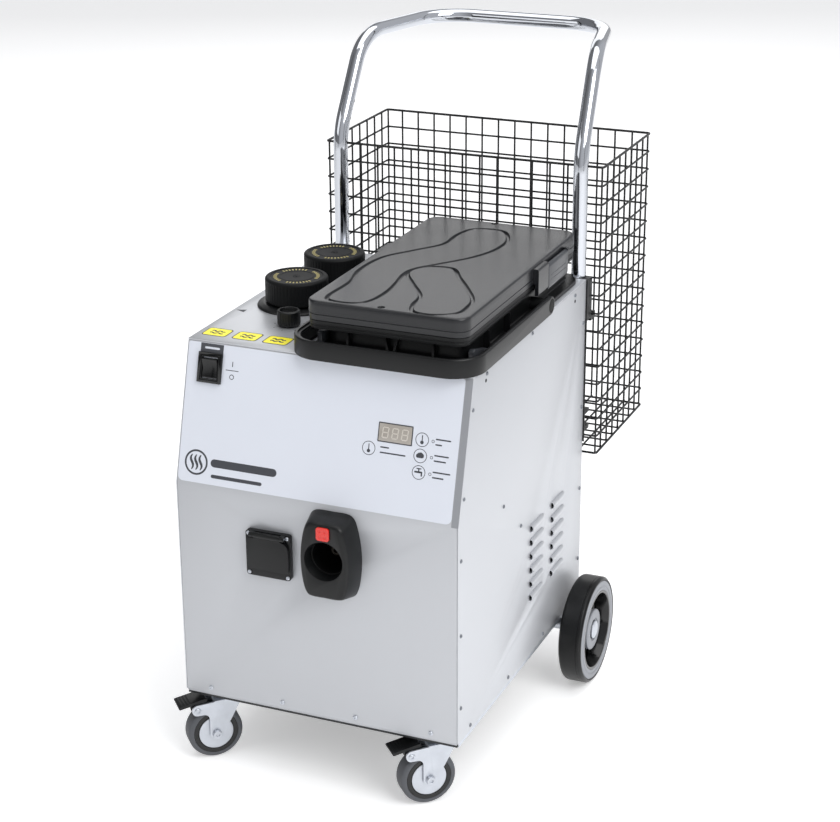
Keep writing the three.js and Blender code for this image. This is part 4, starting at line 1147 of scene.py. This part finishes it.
def add_basket():
    low, _ = corners_mm("basket_front")
    _, high = corners_mm("basket_back")
    inset = 1.8
    x1, y0, y1 = high.x - inset, low.y + inset, high.y - inset
    z0, z1 = low.z + inset, high.z - inset
    levels = [z0 + (z1 - z0) * i / BASKET_ROWS for i in range(BASKET_ROWS + 1)]

    def hoop(z, radius, shrink=0.0):
        outline = rectangle(-x1 + shrink, x1 - shrink, y0 + shrink, y1 - shrink, BASKET_CORNER - shrink,
                            steps=5)
        return wire([Vector((p.x, p.y, z)) for p in outline], radius, 8, closed=True)

    hoops = [hoop(z, WIRE_RADIUS) for z in levels[1:-1]]
    piece("basket_hoops", hoops, WIRE, "basket",
          [f"basket_{part}" for part in ("front", "back", "left", "right", "floor")], angle=60)
    piece("basket_rims", [hoop(z0, 1.7), hoop(z1, 1.7)], WIRE, "basket", angle=60)

    inner = 2.3
    uprights = []
    for i in range(BASKET_COLUMNS + 1):
        x = -x1 + 2 * x1 * i / BASKET_COLUMNS
        x = max(-x1 + inner, min(x1 - inner, x))
        for y in (y0 + inner, y1 - inner):
            uprights.append(wire([Vector((x, y, z0)), Vector((x, y, z1))], WIRE_RADIUS, 8))
    for j in range(1, BASKET_DEEP):
        y = y0 + (y1 - y0) * j / BASKET_DEEP
        for x in (-x1 + inner, x1 - inner):
            uprights.append(wire([Vector((x, y, z0)), Vector((x, y, z1))], WIRE_RADIUS, 8))
    piece("basket_uprights", uprights, WIRE, "basket", angle=60)

    floor = []
    for i in range(1, BASKET_COLUMNS):
        x = -x1 + 2 * x1 * i / BASKET_COLUMNS
        floor.append(wire([Vector((x, y0, z0 + 2.2)), Vector((x, y1, z0 + 2.2))], WIRE_RADIUS, 8))
    for j in range(1, BASKET_DEEP):
        y = y0 + (y1 - y0) * j / BASKET_DEEP
        floor.append(wire([Vector((-x1, y, z0)), Vector((x1, y, z0))], WIRE_RADIUS, 8))
    piece("basket_base", floor, WIRE, "basket", angle=60)


# ---- rear wheels


def mirrored(profile, side):
    """A wheel's profile on its own side of the machine."""
    return [(r, side * along, corner) for r, along, corner in profile]


def add_rear_wheel(name, side):
    low, high = corners_mm("rear_tyre_right")
    near, far = low.x, high.x
    radius = (high.z - low.z) / 2
    centre = (0, (low.y + high.y) / 2, (low.z + high.z) / 2)
    body = f"rear_wheel_{name}"
    tread = [(54, near + 2, 0.6), (66, near + 0.2, 2), (radius, near + 4, 6), (radius, far - 7.6, 0),
             (radius - 0.5, far - 7.2, 0), (radius - 0.5, far - 6.6, 0), (radius, far - 6.2, 0),
             (radius, far - 3.4, 2.2), (71.8, far - 0.3, 0.8), (70.2, far - 0.3, 0.3),
             (69.8, far - 1.6, 0.3), (54, far - 1.9, 0.5)]
    tyre = turned("x", mirrored(tread, side), centre, 128)
    piece(f"tyre_{name}", [tyre], TYRE, body, f"rear_tyre_{name}", angle=30)
    band = [(56.3, far - 1.8, 0), (69.4, far - 1.5, 0.4), (69.0, far - 0.5, 0.5), (62.4, far - 0.25, 0),
            (61.9, far - 0.8, 0.2), (61.2, far - 0.8, 0.2), (60.7, far - 0.2, 0), (56.3, far - 0.15, 0.3)]
    piece(f"wheel_band_{name}", [turned("x", mirrored(band, side), centre, 128)], GREY, body)
    bowl = [(8.3, near + 3, 0), (53.4, near + 3, 1), (53.4, far - 1.8, 0), (56.1, far - 1.7, 0),
            (56.1, far - 0.3, 0.4), (52.6, far - 0.3, 1.2), (49, near + 12, 3), (29, near + 11, 3),
            (26, near + 24, 1), (8.3, near + 24, 0)]
    shell = build(f"wheel_bowl_{name}", turned("x", mirrored(bowl, side), centre, 128))
    fins = []
    a, b = sorted((side * (near + 10), side * (near + 19)))
    for i in range(6):
        fin = block(a, b, -1.6, 1.6, 25, 50.5)
        turn = Matrix.Translation(centre) @ Matrix.Rotation(math.pi * i / 3 + 0.3, 4, "X")
        fins.append(moved(fin, turn))
    fused(shell, *fins)
    finish(shell, GLOSSY, body, f"rear_rim_{name}", angle=30)
    disc = [(13.6, near + 24.2, 0), (28.6, near + 24.2, 0.5), (29, near + 29.4, 1.4),
            (16.4, near + 30.2, 0.8), (15.4, near + 28.2, 0.6), (13.6, near + 28.2, 0)]
    piece(f"hub_disc_{name}", [turned("x", mirrored(disc, side), centre, 96)], GREY, body)
    cap = [(0, near + 29.3, 0), (12.5, near + 29.3, 0.3), (12.5, near + 31.2, 0.8), (8.5, near + 32.8, 3),
           (0, near + 33, 0)]
    piece(f"axle_cap_{name}", [turned("x", mirrored(cap, side), centre, 64)], ZINC)


def add_rear_wheels():
    for name, side in SIDES:
        add_rear_wheel(name, side)
    low, high = corners_mm("rear_tyre_right")
    near = low.x
    centre = (0, (low.y + high.y) / 2, (low.z + high.z) / 2)
    rod = turned("x", [(0, -(near + 29.2), 0), (8, -(near + 29.2), 0.3), (8, near + 29.2, 0.3),
                  (0, near + 29.2, 0)], centre, 64)
    piece("axle_rod", [rod], ZINC, "cabinet", "rear_axle")
    for name, _ in SIDES:
        refined(f"axle_bracket_{name}", TRAY, 0.8)


# ---- casters

TRAIL, CASTER_RADIUS = 20, 36.5
AXLE_Z = FLOOR + CASTER_RADIUS
PEDAL_X, PEDAL_Z = 44.5, 70


def caster_matrix(name):
    """The caster's own frame: Z up its swivel axis, X the way it trails, Y along its axle."""
    swivel = joint_mm(f"caster_{name}_swivel")
    axle = Vector(joint(f"caster_wheel_{name}_spin")["axis"])
    return Matrix.Translation((swivel.x, swivel.y, 0)) @ Matrix.Rotation(math.atan2(-axle.x, axle.y), 4,
                                                                         "Z")


def add_fork(name):
    place = caster_matrix(name)
    cheek = rounded([(-16, 80.5, 1.5), (1, 49, 10), (11, 39, 6), (11, 24, 8.8), (29, 24, 8.8),
                     (29, 63, 7.5), (51.5, 63, 6.9), (51.5, 77.4, 6.9), (6, 80.5, 0.5)])
    sheets = [prism("front", cheek, a, b) for a, b in ((-17, -14.5), (14.5, 17))]
    fork = build(f"fork_{name}", prism("flat", rectangle(-16, 22, -17, 17, 3), 77.5, 80.6))
    fused(fork, *sheets)
    cut(fork, prism("front", ring(TRAIL, AXLE_Z, 4.3, 32), -30, 30))
    eased(fork, 0.7, 3)
    race = turned("z",
                  [(0, 80.2, 0), (17.5, 80.2, 0.5), (20, 82.6, 1.4), (20, 84.2, 0.8), (18.6, 84.8, 0.2),
                   (18.6, 85.4, 0.2),
                        (20, 86, 0.6), (19, 88.4, 1.0), (0, 88.4, 0)], (0, 0, 0), 64)
    fused(fork, race)
    fork.data.transform(root_matrix(place))
    finish(fork, ZINC, f"caster_{name}", f"caster_fork_{name}", angle=30)

    pivots = [moved(screw_head(4.6, 2.0, 24),
                    Matrix.Translation((PEDAL_X, s * 17, PEDAL_Z)) @ facing((0, s, 0)))
              for s in (-1, 1)]
    pin = turned("y", [(0, -16.9, 0), (2.7, -16.9, 0), (2.7, 16.9, 0), (0, 16.9, 0)],
                 (PEDAL_X, 0, PEDAL_Z), 24)
    piece(f"pedal_pin_{name}", [moved(joined(*pivots, pin), place)], ZINC, f"caster_{name}")


def add_caster_wheel(name):
    place = caster_matrix(name)
    hub = (TRAIL, 0, AXLE_Z)
    fork_body, wheel_body = f"caster_{name}", f"caster_wheel_{name}"
    half = 12.5
    rim = CASTER_RADIUS
    tread = turned("y",
                   [(29.7, -half, 0.3), (rim - 3, -half, 0), (rim, -half + 3.2, 4), (rim, half - 3.2, 4),
                         (rim - 3, half, 0), (29.7, half, 0.3)], hub, 96)
    piece(f"caster_tread_{name}", [moved(tread, place)], RUBBER, wheel_body, f"caster_wheel_{name}",
          angle=50)
    core = turned("y", [(4.4, -half + 1, 0), (23.4, -half + 1, 0), (24, -half, 0.4), (29.5, -half, 0.4),
                   (29.5, half, 0.4), (24, half, 0.4), (23.4, half - 1, 0), (4.4, half - 1, 0)], hub, 96)
    piece(f"caster_core_{name}", [moved(core, place)], GLOSSY, wheel_body)
    discs = [turned("y",
                    [(4.6, s * 11.6, 0), (22.6, s * 11.6, 0), (23, s * 12.6, 0.3), (20, s * 13.2, 1.2),
                     (10, s * 13.5, 2),
                          (4.6, s * 13.5, 0.4)], hub, 96) for s in (-1, 1)]
    piece(f"caster_discs_{name}", [moved(joined(*discs), place)], ZINC, fork_body)

    bolt = [(0, -21.3, 0), (5.6, -21.3, 0.8), (6.2, -17.3, 0.2), (4, -17.3, 0), (4, 17.3, 0),
            (6.2, 17.3, 0.2), (5.6, 21.3, 0.8), (0, 21.3, 0)]
    axle = build(f"caster_bolt_{name}", moved(turned("y", bolt, hub, 12), place))
    cut(axle,
        *[moved(turned("y", [(0, s * 19.4, 0), (2.9, s * 19.4, 0), (2.9, s * 23, 0), (0, s * 23, 0)], hub,
                       6), place)
                for s in (-1, 1)])
    finish(eased(axle, 0.3), ZINC, fork_body, f"caster_axle_{name}", angle=25)


def add_pedal(name):
    pad = rounded([(30, 80.2, 1.5), (50, 77.5, 12), (68, 74, 1.6), (69, 78, 1.6), (31.4, 85, 1.8)])
    tongue = rounded([(38, 66, 1), (52, 66, 5), (52, 79, 1), (36, 81, 1)])
    pedal = build(f"brake_pedal_{name}", prism("front", pad, -14, 14))
    fused(pedal, prism("front", tongue, -11, 11))
    grips = [block(a, a + 1.6, -11, 11, 0, 0.9) for a in (0, 4, 8, 12)]
    lean = Matrix.Translation((52, 0, 80.6)) @ Matrix.Rotation(math.radians(10.5), 4, "Y")
    fused(pedal, *[moved(grip, lean) for grip in grips])
    cut(pedal, prism("front", ring(PEDAL_X, PEDAL_Z, 3.2, 24), -30, 30))
    eased(pedal, 1.0, 3)
    pedal.data.transform(root_matrix(caster_matrix(name)))
    finish(pedal, BLACK, f"pedal_{name}", f"caster_pedal_{name}", angle=40)


def add_caster_plate(name):
    low, high = corners_mm(f"caster_plate_{name}")
    cx, cy = (low.x + high.x) / 2, (low.y + high.y) / 2
    sheet = prism("flat", rectangle(low.x, high.x, low.y, high.y, 5), low.z, high.z)
    plate = eased(build(f"mount_plate_{name}", sheet), 0.6)
    finish(plate, ZINC, "cabinet", f"caster_plate_{name}")
    nuts = [turned("z", [(0, low.z - 0.9, 0), (4.8, low.z - 0.9, 0.3), (5.2, low.z - 0.1, 0),
                    (0, low.z - 0.1, 0)], (cx + a, cy + b, 0), 6) for a in (-24, 24) for b in (-24, 24)]
    piece(f"plate_nuts_{name}", nuts, ZINC, angle=20)


# ---- gland and inner parts


def add_gland():
    low, high = corners_mm("cable_gland")
    centre = ((low.x + high.x) / 2, 0, (low.z + high.z) / 2)
    nut = turned("y",
                 [(5, DEPTH + 0.3, 0), (17, DEPTH + 0.3, 0.6), (17, DEPTH + 10, 1), (5, DEPTH + 10, 0)],
                 centre, 6)
    dome = turned("y", [(5, DEPTH - 10, 0), (12, DEPTH - 10, 0), (12, DEPTH + 11, 0),
                   (15.4, DEPTH + 11.5, 0.4), (15.4, DEPTH + 18, 3), (8.5, high.y, 3),
                        (5, high.y, 0)], centre, 72, lambda r, along,
                  turn: -0.5 * (0.5 + 0.5 * math.cos(18 * turn)) if r > 14 else 0)
    gland = build("gland_nut", nut)
    finish(fused(gland, dome), BLACK, "cabinet", "cable_gland", angle=30)
    seal = turned("y", [(3.6, DEPTH + 12, 0), (5.2, DEPTH + 12, 0), (5.2, high.y - 1, 0.3),
                   (3.6, high.y - 1, 0.3)], centre, 32)
    piece("gland_seal", [seal], SEAL)


def add_inner_parts():
    for node, surface in (("boiler", STEEL), ("water_tank", NATURAL), ("detergent_tank", NATURAL),
                          ("water_pump", GREY), ("control_board", BOARD), ("detergent_valve", BRASS)):
        refined(node, surface, 0.6)


# ---- the whole machine

add_camera()
add_stage()
add_panels()
add_cabinet_screws()
add_louvres()
add_facia()
add_rocker()
add_stickers()
add_outlet()
add_hose_socket()
add_fillers()
add_knob()
add_head()
add_tank()
add_carry_handle()
add_push_handle()
add_basket()
add_rear_wheels()
for side_name, _ in SIDES:
    add_fork(side_name)
    add_caster_wheel(side_name)
    add_pedal(side_name)
    add_caster_plate(side_name)
add_gland()
add_inner_parts()
